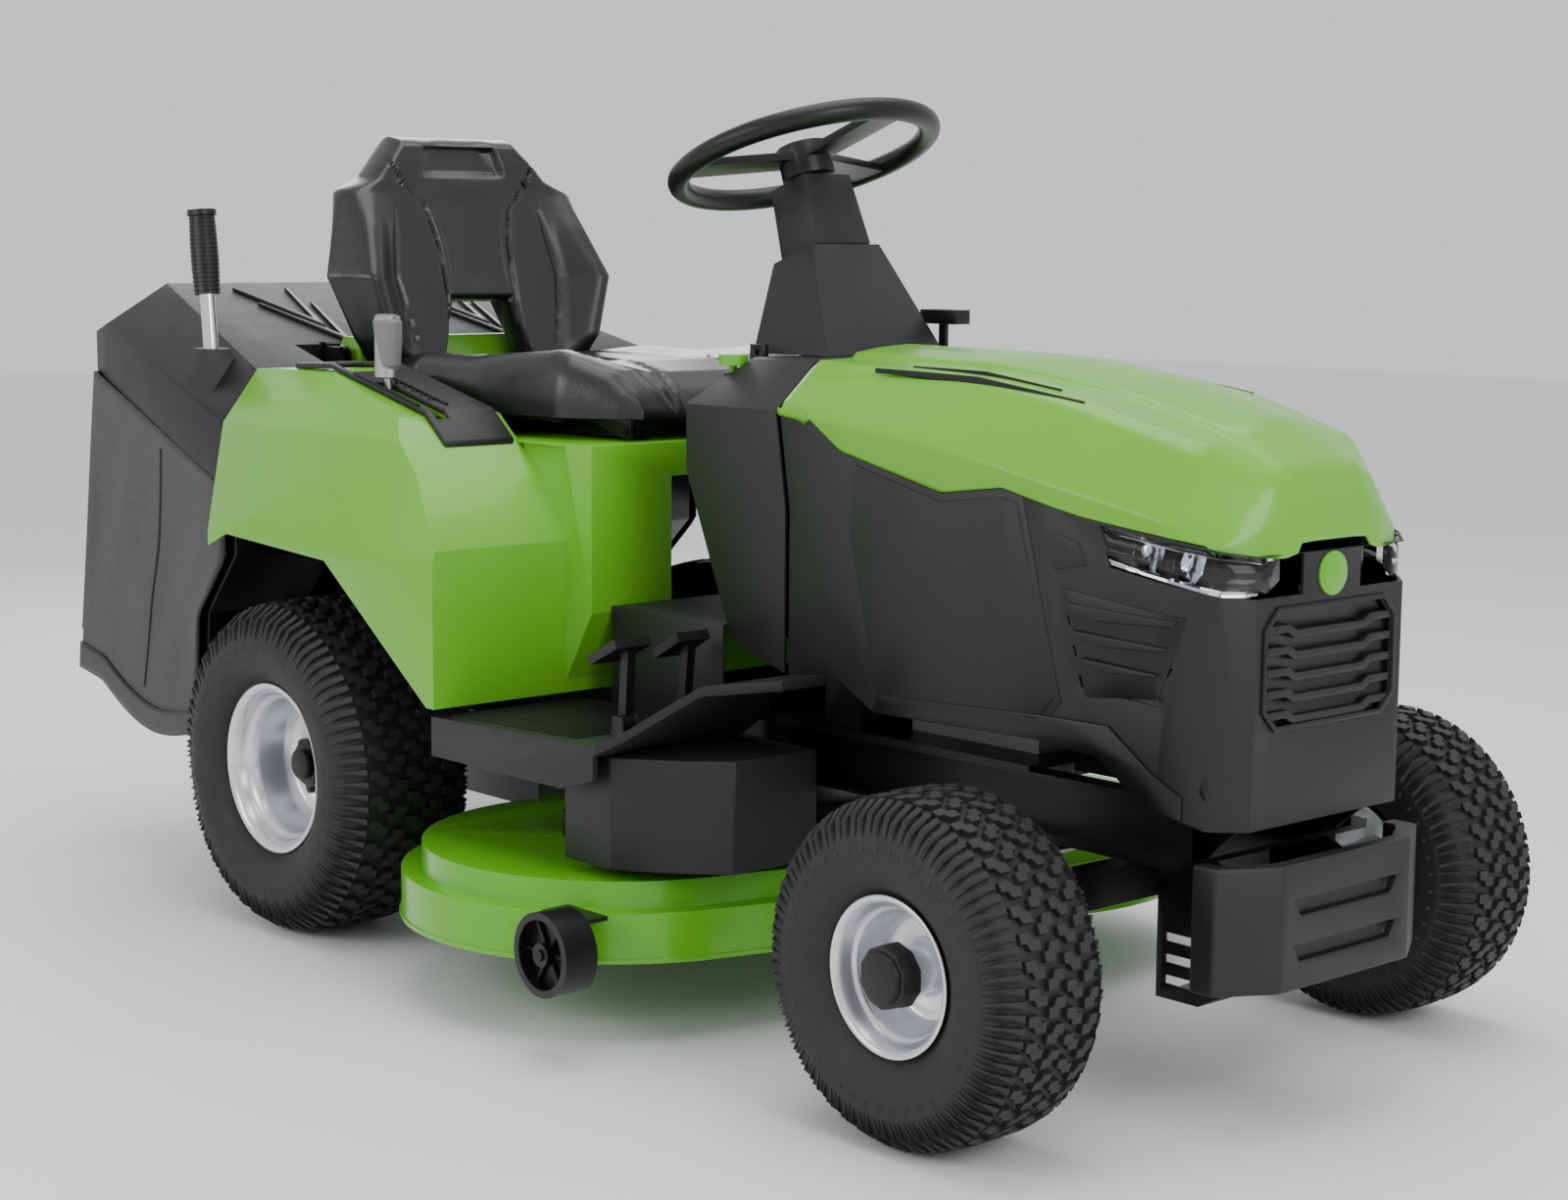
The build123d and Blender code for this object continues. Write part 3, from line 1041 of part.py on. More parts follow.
with BuildPart() as deck_brackets:
    for side_name, (dome_x, dome_y) in DOMES.items():
        side = SIDES[side_name]
        x = dome_x + GAUGE_STAND_OFF
        inner = GAUGE_Y - GAUGE_WIDTH / 2
        block((x - 16, x + 16), both((inner - 8, inner - 3), side), (GAUGE_Z - 16, DECK_STEP_Z + 5))
        block((x - 60, x + 16), both((456, inner - 3), side), (DECK_STEP_Z, DECK_STEP_Z + 5))
        rod((x, side * (inner - 4), GAUGE_Z), (x, side * (GAUGE_Y + GAUGE_WIDTH / 2 + 3), GAUGE_Z),
                GAUGE_AXLE_RADIUS)
        for hanger_x in HANGER_X[side_name]:
            rod((hanger_x, side * HANGER_Y, DECK_TOP), (hanger_x, side * HANGER_Y, DECK_TOP + 6), 14)
            rod((hanger_x, side * HANGER_Y, DECK_TOP), (hanger_x, side * HANGER_Y, HANGER_TOP), HANGER_RADIUS)
finish(deck_brackets, "deck_brackets")

# ---------------------------------------------------------------- grass collector

LID_FRONT_X = FENDER_REAR_X - 5
RECESS_X = -262.0
RECESS_HALF = 246.0
MOUTH_HALF = 178.0
# distance, half width, crease height, panel half width, top height
LID_STATIONS = [(LID_FRONT_X, 432, 688, 372, 758), (-560, 388, 812, 285, 872), (-606, 380, 800, 272, 848)]
SKIRT_LINE = [(LID_FRONT_X, 600), (-606, 742)]


def lid_volume(inset):
    """Solid under the collector's lid, drawn in by inset on all sides but the bottom."""
    with BuildPart() as volume:
        for index, (x, half, crease, panel, top) in enumerate(LID_STATIONS):
            at = x + (inset if index == 2 else 0) - (inset if index == 0 else 0)
            with BuildSketch(Plane.YZ.offset(at)):
                with BuildLine():
                    Polyline(*mirrored([(half - inset, 560), (half - inset, crease - inset / 2),
                                        (panel - inset / 2, top - inset)]), close=True)
                make_face()
        loft(ruled=True)
        block((RECESS_X - inset, 0), (-RECESS_HALF - inset, RECESS_HALF + inset), (500, 900),
                mode=Mode.SUBTRACT)
        slab_xz([(0, SKIRT_LINE[0][1] - inset), (LID_FRONT_X, SKIRT_LINE[0][1] - inset),
                (-606, SKIRT_LINE[1][1] - inset),
                 (-650, SKIRT_LINE[1][1] - inset), (-650, 900), (0, 900)], -500, 500, mode=Mode.INTERSECT)
    return volume.part


LID_INNER = lid_volume(SHELL)
HANDLE_FOOT = (-258.0, 740.0)
HANDLE_LEAN = -0.098
HANDLE_RADIUS = 11.0


def handle_point(z):
    return (HANDLE_FOOT[0] + HANDLE_LEAN * (z - HANDLE_FOOT[1]), HANDLE_Y, z)


with BuildPart() as collector_lid:
    add(lid_volume(0))
    add(LID_INNER, mode=Mode.SUBTRACT)
    with BuildSketch(Plane.XY.offset(728)):
        with Locations((HANDLE_FOOT[0] - 4, HANDLE_Y)):
            Rectangle(84, 46)
    with BuildSketch(Plane.XY.offset(786)):
        with Locations((HANDLE_FOOT[0] - 4, HANDLE_Y)):
            Rectangle(44, 38)
    loft(ruled=True)
    rod(handle_point(640), handle_point(900), HANDLE_RADIUS + 0.1, mode=Mode.SUBTRACT)
    for side in SIDES.values():
        block((RECESS_X - 10, RECESS_X + 2), both((189.4, 200.6), side), (752, 792), mode=Mode.SUBTRACT)
finish(collector_lid, "collector_lid")

with BuildPart() as collector_handle:
    rod(handle_point(600), handle_point(978), HANDLE_RADIUS)
    rod(handle_point(862), handle_point(974), 17)
    rod(handle_point(974), handle_point(980), 20)
finish(collector_handle, "collector_handle")

BAG_BACK_X = COLLECTOR_REAR_X


def bag_volume(inset):
    """The bag's solid body with the mouth duct between the wheels, drawn in by inset."""
    rise = SKIRT_LINE[0][1] - SEAM
    over = 1 if inset else 0
    with BuildPart() as volume:
        slab_xz([(LID_FRONT_X - inset, 500 + inset), (LID_FRONT_X - inset, rise + over),
                 (-606 + inset, SKIRT_LINE[1][1] - SEAM + over), (BAG_BACK_X + inset, 330),
                 (-682 + inset, 278 + inset),
                 (-364, 214 + inset), (-262 - inset, 236 + inset), (-246 - inset, 410)], -500, 500)
        slab_xy([(-100, 434 - inset), (BAG_BACK_X, 383 - inset), (BAG_BACK_X, -383 + inset),
                (-100, -434 + inset)],
                200, 900, mode=Mode.INTERSECT)
        block((RECESS_X - inset, 0), (-RECESS_HALF - inset, RECESS_HALF + inset), (200, 900),
                mode=Mode.SUBTRACT)
        block((RECESS_X - inset - 6, LID_FRONT_X - 2 + (5 if inset else 0)),
                (-MOUTH_HALF + inset, MOUTH_HALF - inset),
              (388 + inset, 632 - inset))
    return volume.part


BAG_INNER = bag_volume(SHELL)
with BuildPart() as collector_bag:
    add(bag_volume(0))
    add(BAG_INNER, mode=Mode.SUBTRACT)
finish(collector_bag, "collector_bag")

with BuildPart() as collector_frame:
    for side in SIDES.values():
        rod((PIVOT_X, side * 190, PIVOT_Z), (PIVOT_X, side * 200, PIVOT_Z), 16)
        slab_xz([(PIVOT_X, PIVOT_Z - 14), (PIVOT_X, PIVOT_Z + 14), (RECESS_X - 30, PIVOT_Z + 8),
                (-590, 790), (-590, 776),
                 (RECESS_X - 30, PIVOT_Z - 12)], *both((190, 200), side))
        rod((PIVOT_X, side * 188, PIVOT_Z), (PIVOT_X, side * 202, PIVOT_Z), COLLECTOR_PIN_RADIUS + RUNNING,
            mode=Mode.SUBTRACT)
    block((-300, -290), (-190, 190), (762, 776))
    block((-596, -586), (-200, 200), (776, 790))
finish(collector_frame, "collector_frame")
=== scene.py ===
"""The looks of a riding lawn mower with a rear grass collector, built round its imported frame.

Lengths are written in millimetres from the ground under the rear axle, X forward, Y left and Z up,
and place() turns them into the frame's metres.
"""

import json
import math
import bmesh
import bpy
from itertools import product
from mathutils import Matrix, Vector

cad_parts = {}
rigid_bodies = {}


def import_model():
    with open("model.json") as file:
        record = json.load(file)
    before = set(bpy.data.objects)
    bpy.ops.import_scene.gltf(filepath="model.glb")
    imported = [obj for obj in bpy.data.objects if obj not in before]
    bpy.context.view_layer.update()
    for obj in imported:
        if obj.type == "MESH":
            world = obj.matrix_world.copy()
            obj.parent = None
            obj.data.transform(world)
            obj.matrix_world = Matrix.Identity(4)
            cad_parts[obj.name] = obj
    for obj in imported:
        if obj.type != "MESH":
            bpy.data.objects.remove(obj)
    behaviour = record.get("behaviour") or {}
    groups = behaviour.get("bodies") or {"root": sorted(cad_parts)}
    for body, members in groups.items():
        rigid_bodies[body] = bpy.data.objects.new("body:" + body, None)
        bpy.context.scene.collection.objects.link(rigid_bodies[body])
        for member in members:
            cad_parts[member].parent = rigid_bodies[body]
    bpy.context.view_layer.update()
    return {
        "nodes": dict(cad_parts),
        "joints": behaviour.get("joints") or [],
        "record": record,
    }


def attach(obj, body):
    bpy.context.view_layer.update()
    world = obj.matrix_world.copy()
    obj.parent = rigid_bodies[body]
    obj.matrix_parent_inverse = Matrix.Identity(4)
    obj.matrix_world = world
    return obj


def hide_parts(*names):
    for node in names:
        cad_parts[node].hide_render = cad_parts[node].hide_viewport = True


for leftover in list(bpy.data.objects):
    bpy.data.objects.remove(leftover)

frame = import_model()
scene = bpy.context.scene
NODES = frame["nodes"]
JOINTS = {joint["name"]: joint for joint in frame["joints"]}
AXLE_X = JOINTS["rear_wheel_right_spin"]["pos_m"][0]
MM = 0.001


def place(x, y, z):
    """A point given in millimetres from the rear axle's place on the ground."""
    return Vector((x * MM + AXLE_X, y * MM, z * MM))


# ---------------------------------------------------------------- materials

def new_material(name):
    """An empty node material, with its shader and its Object coordinates."""
    material = bpy.data.materials.new(name)
    material.use_nodes = True
    tree = material.node_tree
    shader = tree.nodes["Principled BSDF"]
    coords = tree.nodes.new("ShaderNodeTexCoord")
    return material, tree, shader, coords


def noise(tree, coords, scale, detail=3.0, roughness=0.5):
    node = tree.nodes.new("ShaderNodeTexNoise")
    node.inputs["Scale"].default_value = scale
    node.inputs["Detail"].default_value = detail
    node.inputs["Roughness"].default_value = roughness
    tree.links.new(coords.outputs["Object"], node.inputs["Vector"])
    return node.outputs["Fac"]


def cells(tree, coords, scale, feature="F1"):
    node = tree.nodes.new("ShaderNodeTexVoronoi")
    node.feature = feature
    node.inputs["Scale"].default_value = scale
    tree.links.new(coords.outputs["Object"], node.inputs["Vector"])
    return node.outputs["Distance"]


def spread(tree, value, low, high):
    """The 0 to 1 value stretched to run from low to high."""
    node = tree.nodes.new("ShaderNodeMapRange")
    node.inputs["To Min"].default_value = low
    node.inputs["To Max"].default_value = high
    tree.links.new(value, node.inputs["Value"])
    return node.outputs["Result"]


def tint(tree, value, dark, light):
    """A colour that runs from dark to light with the value."""
    node = tree.nodes.new("ShaderNodeMix")
    node.data_type = "RGBA"
    node.inputs[6].default_value = (*dark, 1)
    node.inputs[7].default_value = (*light, 1)
    tree.links.new(value, node.inputs[0])
    return node.outputs[2]


def bump(tree, shader, height, strength, distance):
    node = tree.nodes.new("ShaderNodeBump")
    node.inputs["Strength"].default_value = strength
    node.inputs["Distance"].default_value = distance
    tree.links.new(height, node.inputs["Height"])
    tree.links.new(node.outputs["Normal"], shader.inputs["Normal"])


def painted_edge_highlight(tree, colour, amount, light):
    """Colour with a painted highlight: the convex edges, found by Pointiness, are painted paler."""
    edge = tree.nodes.new("ShaderNodeNewGeometry")
    ramp = tree.nodes.new("ShaderNodeMapRange")
    ramp.inputs["From Min"].default_value = 0.52
    ramp.inputs["From Max"].default_value = 0.62
    ramp.inputs["To Max"].default_value = amount
    mix = tree.nodes.new("ShaderNodeMix")
    mix.data_type = "RGBA"
    tree.links.new(edge.outputs["Pointiness"], ramp.inputs["Value"])
    tree.links.new(ramp.outputs["Result"], mix.inputs[0])
    tree.links.new(colour, mix.inputs[6])
    mix.inputs[7].default_value = (*light, 1)
    return mix.outputs[2]


def moulded(name, dark, light, gloss, grain, strength, coat=0.0, metal=0.0):
    """Moulded plastic or paint: slow colour drift, uneven gloss and a fine grain."""
    material, tree, shader, coords = new_material(name)
    drift = noise(tree, coords, 7.0)
    # painted highlight: the convex edges are painted paler than the drifting colour
    colour = painted_edge_highlight(tree, tint(tree, drift, dark, light), 0.12, [min(1.0, c * 1.6 + 0.01) for c in light])
    tree.links.new(colour, shader.inputs["Base Color"])
    tree.links.new(spread(tree, noise(tree, coords, 38.0), gloss - 0.05, gloss + 0.06),
                   shader.inputs["Roughness"])
    bump(tree, shader, noise(tree, coords, grain, 2.0), strength, 0.0006)
    shader.inputs["Coat Weight"].default_value = coat
    shader.inputs["Coat Roughness"].default_value = 0.12
    shader.inputs["Metallic"].default_value = metal
    shader.inputs["Specular IOR Level"].default_value = 0.38
    return material


def rubber():
    material, tree, shader, coords = new_material("tyre_rubber")
    # painted highlight: the convex tread and shoulder edges are painted a paler grey
    colour = painted_edge_highlight(tree, tint(tree, noise(tree, coords, 14.0, 5.0), (0.004, 0.004, 0.0044),
                             (0.011, 0.011, 0.011)), 0.3, (0.03, 0.03, 0.029))
    tree.links.new(colour, shader.inputs["Base Color"])
    tree.links.new(spread(tree, noise(tree, coords, 60.0), 0.5, 0.72), shader.inputs["Roughness"])
    bump(tree, shader, noise(tree, coords, 420.0), 0.25, 0.0008)
    return material


def vinyl():
    """Seat cover: pebbled grain with a soft shine."""
    material, tree, shader, coords = new_material("seat_vinyl")
    tree.links.new(tint(tree, noise(tree, coords, 9.0), (0.003, 0.003, 0.0034), (0.008, 0.008, 0.0084)),
                   shader.inputs["Base Color"])
    tree.links.new(spread(tree, noise(tree, coords, 30.0), 0.24, 0.4), shader.inputs["Roughness"])
    bump(tree, shader, cells(tree, coords, 380.0), 0.22, 0.0008)
    shader.inputs["Coat Weight"].default_value = 0.25
    shader.inputs["Coat Roughness"].default_value = 0.2
    return material


def weave():
    """Bag cloth: threads one way and the other, with slow patches of wear."""
    material, tree, shader, coords = new_material("bag_weave")
    tree.links.new(tint(tree, noise(tree, coords, 22.0, 6.0), (0.010, 0.010, 0.0105), (0.028, 0.028, 0.028)),
                   shader.inputs["Base Color"])
    threads = []
    for direction in ("X", "Z"):
        wave = tree.nodes.new("ShaderNodeTexWave")
        wave.bands_direction = direction
        wave.inputs["Scale"].default_value = 95.0
        wave.inputs["Distortion"].default_value = 0.6
        tree.links.new(coords.outputs["Object"], wave.inputs["Vector"])
        threads.append(wave.outputs["Fac"])
    both_ways = tree.nodes.new("ShaderNodeMath")
    both_ways.operation = "MAXIMUM"
    for index, thread in enumerate(threads):
        tree.links.new(thread, both_ways.inputs[index])
    bump(tree, shader, both_ways.outputs[0], 0.5, 0.0012)
    tree.links.new(spread(tree, noise(tree, coords, 50.0), 0.75, 0.92), shader.inputs["Roughness"])
    shader.inputs["Sheen Weight"].default_value = 0.25
    return material


def clear_lens():
    material, tree, shader, coords = new_material("lamp_lens")
    shader.inputs["Base Color"].default_value = (0.93, 0.95, 0.97, 1)
    shader.inputs["Transmission Weight"].default_value = 1.0
    shader.inputs["IOR"].default_value = 1.3
    tree.links.new(spread(tree, noise(tree, coords, 60.0), 0.02, 0.07), shader.inputs["Roughness"])
    return material


def bright_metal(name, colour, gloss):
    material, tree, shader, coords = new_material(name)
    tree.links.new(tint(tree, noise(tree, coords, 25.0), [c * 0.9 for c in colour], colour),
                   shader.inputs["Base Color"])
    tree.links.new(spread(tree, noise(tree, coords, 90.0), gloss - 0.04, gloss + 0.07),
                   shader.inputs["Roughness"])
    shader.inputs["Metallic"].default_value = 1.0
    return material


GREEN = moulded("green_panel", (0.115, 0.40, 0.012), (0.14, 0.45, 0.02), 0.33, 500.0, 0.04, coat=0.3)
GREEN_DECK = moulded("green_deck", (0.09, 0.38, 0.008), (0.125, 0.44, 0.015), 0.26, 300.0, 0.06, coat=0.45)
CHARCOAL = moulded("charcoal_plastic", (0.009, 0.009, 0.0095), (0.015, 0.015, 0.0155), 0.46, 900.0, 0.22)
BLACK = moulded("black_plastic", (0.003, 0.003, 0.0033), (0.006, 0.006, 0.0064), 0.36, 800.0, 0.14)
GRAINED = moulded("grained_plastic", (0.022, 0.0225, 0.0235), (0.04, 0.041, 0.042), 0.58, 420.0, 0.5)
DARK_STEEL = moulded("dark_steel", (0.004, 0.004, 0.0045), (0.009, 0.009, 0.0095), 0.34, 260.0, 0.1,
                     metal=0.3)
SILVER = moulded("rim_silver", (0.62, 0.63, 0.65), (0.78, 0.79, 0.81), 0.24, 300.0, 0.08, coat=0.4,
                 metal=0.75)
GREY_GRIP = moulded("grey_grip", (0.13, 0.13, 0.135), (0.19, 0.19, 0.195), 0.45, 500.0, 0.2)
CAST = moulded("cast_aluminium", (0.22, 0.22, 0.225), (0.36, 0.36, 0.36), 0.55, 220.0, 0.5, metal=0.8)
STEEL = bright_metal("bare_steel", (0.5, 0.5, 0.51), 0.3)
CHROME = bright_metal("chrome", (0.82, 0.83, 0.85), 0.08)
RUBBER = rubber()
VINYL = vinyl()
WEAVE = weave()
LENS = clear_lens()

SLOT_LOOKS = {"green_panel": GREEN, "green_steel": GREEN_DECK, "charcoal_plastic": CHARCOAL,
              "black_plastic": BLACK, "black_steel": DARK_STEEL, "bare_steel": STEEL,
              "handle_chrome": CHROME, "rim_silver": SILVER, "tyre_rubber": RUBBER, "seat_vinyl": VINYL,
              "bag_fabric": WEAVE, "lamp_lens": LENS, "knob_green": GREEN_DECK, "engine_metal": CAST}
NODE_SLOTS = {part["node"]: part["material_slot"] for part in frame["record"]["subparts"]}
NODE_BODIES = {node: body for body, nodes in frame["record"]["behaviour"]["bodies"].items() for node in nodes}

for node, thing in NODES.items():
    thing.data.materials.clear()
    thing.data.materials.append(SLOT_LOOKS[NODE_SLOTS[node]])


# ---------------------------------------------------------------- ways of making pieces

def settle(name, bm, material, body, stands_for=(), crease=32.0):
    """Turn a finished bmesh into a named piece that rides on its body."""
    mesh = bpy.data.meshes.new(name)
    bm.normal_update()
    bm.to_mesh(mesh)
    bm.free()
    mesh.shade_smooth()
    mesh.set_sharp_from_angle(angle=math.radians(crease))
    mesh.materials.append(material)
    piece = bpy.data.objects.new(name, mesh)
    scene.collection.objects.link(piece)
    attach(piece, body)
    if stands_for:
        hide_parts(*stands_for)
    return piece


def joined_copy(node):
    """A CAD node's mesh with its loose triangles joined and its flat faces whole."""
    bm = bmesh.new()
    bm.from_mesh(NODES[node].data)
    bmesh.ops.remove_doubles(bm, verts=bm.verts, dist=2e-5)
    bmesh.ops.dissolve_limit(bm, angle_limit=math.radians(1.5), verts=bm.verts, edges=bm.edges)
    return bm


def round_edges(bm, width, steps=2, above=25.0, edges=None):
    """Bevel every edge that turns by more than the given angle."""
    chosen = bm.edges if edges is None else edges
    sharp = [edge for edge in chosen
             if len(edge.link_faces) == 2 and edge.calc_face_angle(0.0) > math.radians(above)]
    bmesh.ops.bevel(bm, geom=sharp, offset=width * MM, offset_type="OFFSET", segments=steps, profile=0.5,
                    affect="EDGES", clamp_overlap=True, material=-1)


def softened(node, width, material=None, steps=2, above=25.0):
    """The CAD node's own shape with its edges rounded."""
    bm = joined_copy(node)
    round_edges(bm, width, steps, above)
    return settle(f"{node}_soft", bm, material or SLOT_LOOKS[NODE_SLOTS[node]], NODE_BODIES[node],
                  (node,))


def swept(rows, closed=False):
    """A skin pulled from row to row; each row is a list of points in millimetres."""
    bm = bmesh.new()
    verts = [bm.verts.new(place(*point)) for point in rows[0]]
    edges = [bm.edges.new(pair) for pair in zip(verts, verts[1:])]
    if closed:
        edges.append(bm.edges.new((verts[-1], verts[0])))
    for row in rows[1:]:
        grown = bmesh.ops.extrude_edge_only(bm, edges=edges)["geom"]
        fresh = {item for item in grown if isinstance(item, bmesh.types.BMVert)}
        verts = [next(edge.other_vert(vert) for edge in vert.link_edges if edge.other_vert(vert) in fresh)
                 for vert in verts]
        for vert, point in zip(verts, row):
            vert.co = place(*point)
        edges = [edge for edge in grown if isinstance(edge, bmesh.types.BMEdge)
                 and all(vert in fresh for vert in edge.verts)]
    return bm


def two_sided(half):
    """A row of points from the right edge to the left one, given from the middle outwards."""
    return [(x, -y, z) for x, y, z in reversed(half)] + [point for point in half if point[1] > 0]


def plate(bm, outline, along, low, high):
    """A closed prism: an outline pushed from low to high along X, Y or Z."""
    order = {"X": lambda a, b, c: (c, a, b),
             "Y": lambda a, b, c: (a, c, b),
             "Z": lambda a, b, c: (a, b, c)}[along]
    verts = [bm.verts.new(place(*order(a, b, low))) for a, b in outline]
    face = bm.faces.new(verts)
    grown = bmesh.ops.extrude_face_region(bm, geom=[face])["geom"]
    fresh = [item for item in grown if isinstance(item, bmesh.types.BMVert)]
    bmesh.ops.translate(bm, verts=fresh, vec=(place(*order(0, 0, high)) - place(*order(0, 0, low))))
    faces = {linked for vert in verts + fresh for linked in vert.link_faces}
    bmesh.ops.recalc_face_normals(bm, faces=list(faces))
    return list(faces)


def bar(bm, start, end, radius, tip=None, sides=16):
    """A round bar between two points, tapered where tip gives the far radius."""
    run = place(*end) - place(*start)
    turn = run.to_track_quat("Z", "Y").to_matrix().to_4x4()
    middle = Matrix.Translation((place(*start) + place(*end)) / 2) @ turn
    bmesh.ops.create_cone(bm, cap_ends=True, segments=sides, radius1=radius * MM,
                          radius2=(radius if tip is None else tip) * MM, depth=run.length, matrix=middle)


def box_bar(bm, x_limits, y_limits, z_limits):
    low, high = (place(*corner) for corner in zip(x_limits, y_limits, z_limits))
    size = Matrix.Diagonal((*(high - low), 1.0))
    bmesh.ops.create_cube(bm, size=1.0, matrix=Matrix.Translation((low + high) / 2) @ size)


def wall(piece, thickness, offset=-1.0):
    solid = piece.modifiers.new("wall", "SOLIDIFY")
    solid.thickness = thickness * MM
    solid.offset = offset
    solid.use_even_offset = True


def smooth_skin(piece, levels=2):
    curve = piece.modifiers.new("smooth", "SUBSURF")
    curve.levels = levels
    curve.render_levels = levels


def face_out(bm, way):
    """Make the faces agree, and turn them all over if, by way's score of each, they look inwards."""
    bmesh.ops.recalc_face_normals(bm, faces=bm.faces)
    if sum(way(face) for face in bm.faces) < 0:
        bmesh.ops.reverse_faces(bm, faces=bm.faces)


def crease_edges(bm, wanted, amount):
    """Give the edges that pass the test a crease for the smoothing to keep."""
    layer = bm.edges.layers.float.get("crease_edge") or bm.edges.layers.float.new("crease_edge")
    for edge in bm.edges:
        if wanted(edge):
            edge[layer] = amount


SIDES = {"right": -1, "left": 1}

# ---------------------------------------------------------------- wheels

def turned(bm, outline, centre, turns=96):
    """Spin a half section, given as (across, radius), about a wheel's axle."""
    points = [bm.verts.new(centre + Vector((0, across * MM, radius * MM))) for across, radius in outline]
    for first, second in zip(points, points[1:]):
        bm.edges.new((first, second))
    if outline[0] == outline[-1]:
        bmesh.ops.remove_doubles(bm, verts=points, dist=1e-7)
        points = [vert for vert in points if vert.is_valid]
    edges = {edge for vert in points for edge in vert.link_edges}
    bmesh.ops.spin(bm, geom=points + list(edges), cent=centre, axis=(0, 1, 0), dvec=(0, 0, 0),
                   angle=2 * math.pi, steps=turns, use_merge=True)
    bmesh.ops.remove_doubles(bm, verts=bm.verts, dist=1e-7)


def eased(points, reach, steps=3):
    """An outline with each inner corner turned into a short arc."""
    made = [points[0]]
    for before, here, after in zip(points, points[1:], points[2:]):
        corner = Vector(here)
        back, ahead = Vector(before) - corner, Vector(after) - corner
        start = corner + back.normalized() * min(reach, back.length * 0.45)
        end = corner + ahead.normalized() * min(reach, ahead.length * 0.45)
        for step in range(steps + 1):
            share = step / steps
            made.append(tuple(start.lerp(corner, share).lerp(corner.lerp(end, share), share)))
    made.append(points[-1])
    return made


def along_profile(profile, distance):
    """The point, and the way out from it, at a distance along the tyre's outer profile."""
    side = -1 if distance < 0 else 1
    left = abs(distance)
    for (a, b), (c, d) in zip(profile, profile[1:]):
        step = math.hypot(c - a, d - b)
        if left <= step or (c, d) == profile[-1]:
            share = left / step
            out = Vector((-(d - b), c - a)).normalized()
            return side * (a + (c - a) * share), b + (d - b) * share, (side * out.x, out.y)
        left -= step
    return 0, 0, (0, 1)


def tread_block(bm, outline, profile, centre, depth, tips=None):
    """A rubber block whose outline runs (distance along the profile, distance round the tyre)."""
    radius = profile[0][1]
    verts, ways = [], []
    for reach, round_way in outline:
        across, level, (out_across, out_radius) = along_profile(profile, reach)
        angle = round_way / radius
        verts.append(bm.verts.new(centre + Vector((math.sin(angle) * level, across,
                                                   math.cos(angle) * level)) * MM))
        ways.append(Vector((math.sin(angle) * out_radius, out_across, math.cos(angle) * out_radius)) * MM)
    face = bm.faces.new(verts)
    for vert, way in zip(verts, ways):
        vert.co -= way * 1.5
    bmesh.ops.extrude_face_region(bm, geom=[face])
    fresh = [next(edge.other_vert(vert) for edge in vert.link_edges if edge.other_vert(vert) not in verts)
             for vert in verts]
    middle = sum((vert.co for vert in fresh), Vector()) / len(fresh)
    for index, (vert, way) in enumerate(zip(fresh, ways)):
        high = depth if tips is None else tips[index]
        vert.co = vert.co.lerp(middle, 0.05) + way * (high + 1.5)


S_BLOCK = [(-12, 10), (1, 10), (5, 2), (12, 1), (12, -10), (-1, -10), (-5, -2), (-12, -1)]
FRONT_PROFILE = [(0, 183.0), (34, 182.4), (56, 179.5), (67, 174.0), (75, 163.0), (79.5, 149.0), (81, 146.0),
                 (81.2, 133.0), (79, 118.0), (74, 103.0), (66, 92.0), (62, 88.5)]
REAR_PROFILE = [(0, 220.0), (44, 219.2), (74, 215.5), (88, 208.5), (97, 195.0), (101.5, 179.0), (103, 175.0),
                (103.2, 160.0), (100, 142.0), (93, 128.0), (84, 120.5), (78, 118.5)]


def turf_tyre(node, centre, profile, depth, pitches, rows, scale):
    """A turf tyre: carcass, rows of S blocks and lugs that run over the shoulder."""
    bm = bmesh.new()
    half = eased(profile, 4.0, 2)
    inner = [(across * 0.86, radius - 13) for across, radius in reversed(profile[4:-1])]
    section = [(-a, r) for a, r in reversed(half)] + half[1:]
    section += [(profile[-1][0] - 2, profile[-1][1] - 10)] + [(a, r) for a, r in inner]
    section += [(-a, r) for a, r in reversed(inner)] + [(-profile[-1][0] + 2, profile[-1][1] - 10),
                                                        section[0]]
    turned(bm, section, centre)
    blocks = bmesh.new()
    pitch = 2 * math.pi * profile[0][1] / pitches
    for index, reach in enumerate(rows):
        flip = 1 if index % 2 else -1
        shift = pitch * (0.5 if index % 2 else 0.0)
        outline = [(reach + a * scale, shift + flip * b * scale) for a, b in S_BLOCK]
        tread_block(blocks, outline, profile, centre, depth)
    edge = rows[-1] + 15 * scale
    for side in (-1, 1):
        for long, shift in ((60 * scale, 0.0), (44 * scale, pitch / 2)):
            shift += pitch * 0.25 * side
            lug = [(edge, -6.0), (edge + long * 0.45, -6.5), (edge + long, -2.5), (edge + long, 3.5),
                   (edge + long * 0.45, 3.5), (edge, 3.0)]
            tips = [depth, depth * 0.8, 1.2, 1.2, depth * 0.8, depth]
            tread_block(blocks, [(side * a, shift + b * 0.9) for a, b in lug], profile, centre, depth, tips)
    bmesh.ops.spin(blocks, geom=blocks.verts[:] + blocks.edges[:] + blocks.faces[:], cent=centre,
                   axis=(0, 1, 0), dvec=(0, 0, 0), angle=2 * math.pi * (pitches - 1) / pitches,
                   steps=pitches - 1, use_duplicate=True)
    spare = bpy.data.meshes.new("blocks")
    blocks.to_mesh(spare)
    blocks.free()
    bm.from_mesh(spare)
    bpy.data.meshes.remove(spare)
    bmesh.ops.recalc_face_normals(bm, faces=bm.faces)
    return settle(f"{node}_turf", bm, RUBBER, NODE_BODIES[node], (node,), 28.0)


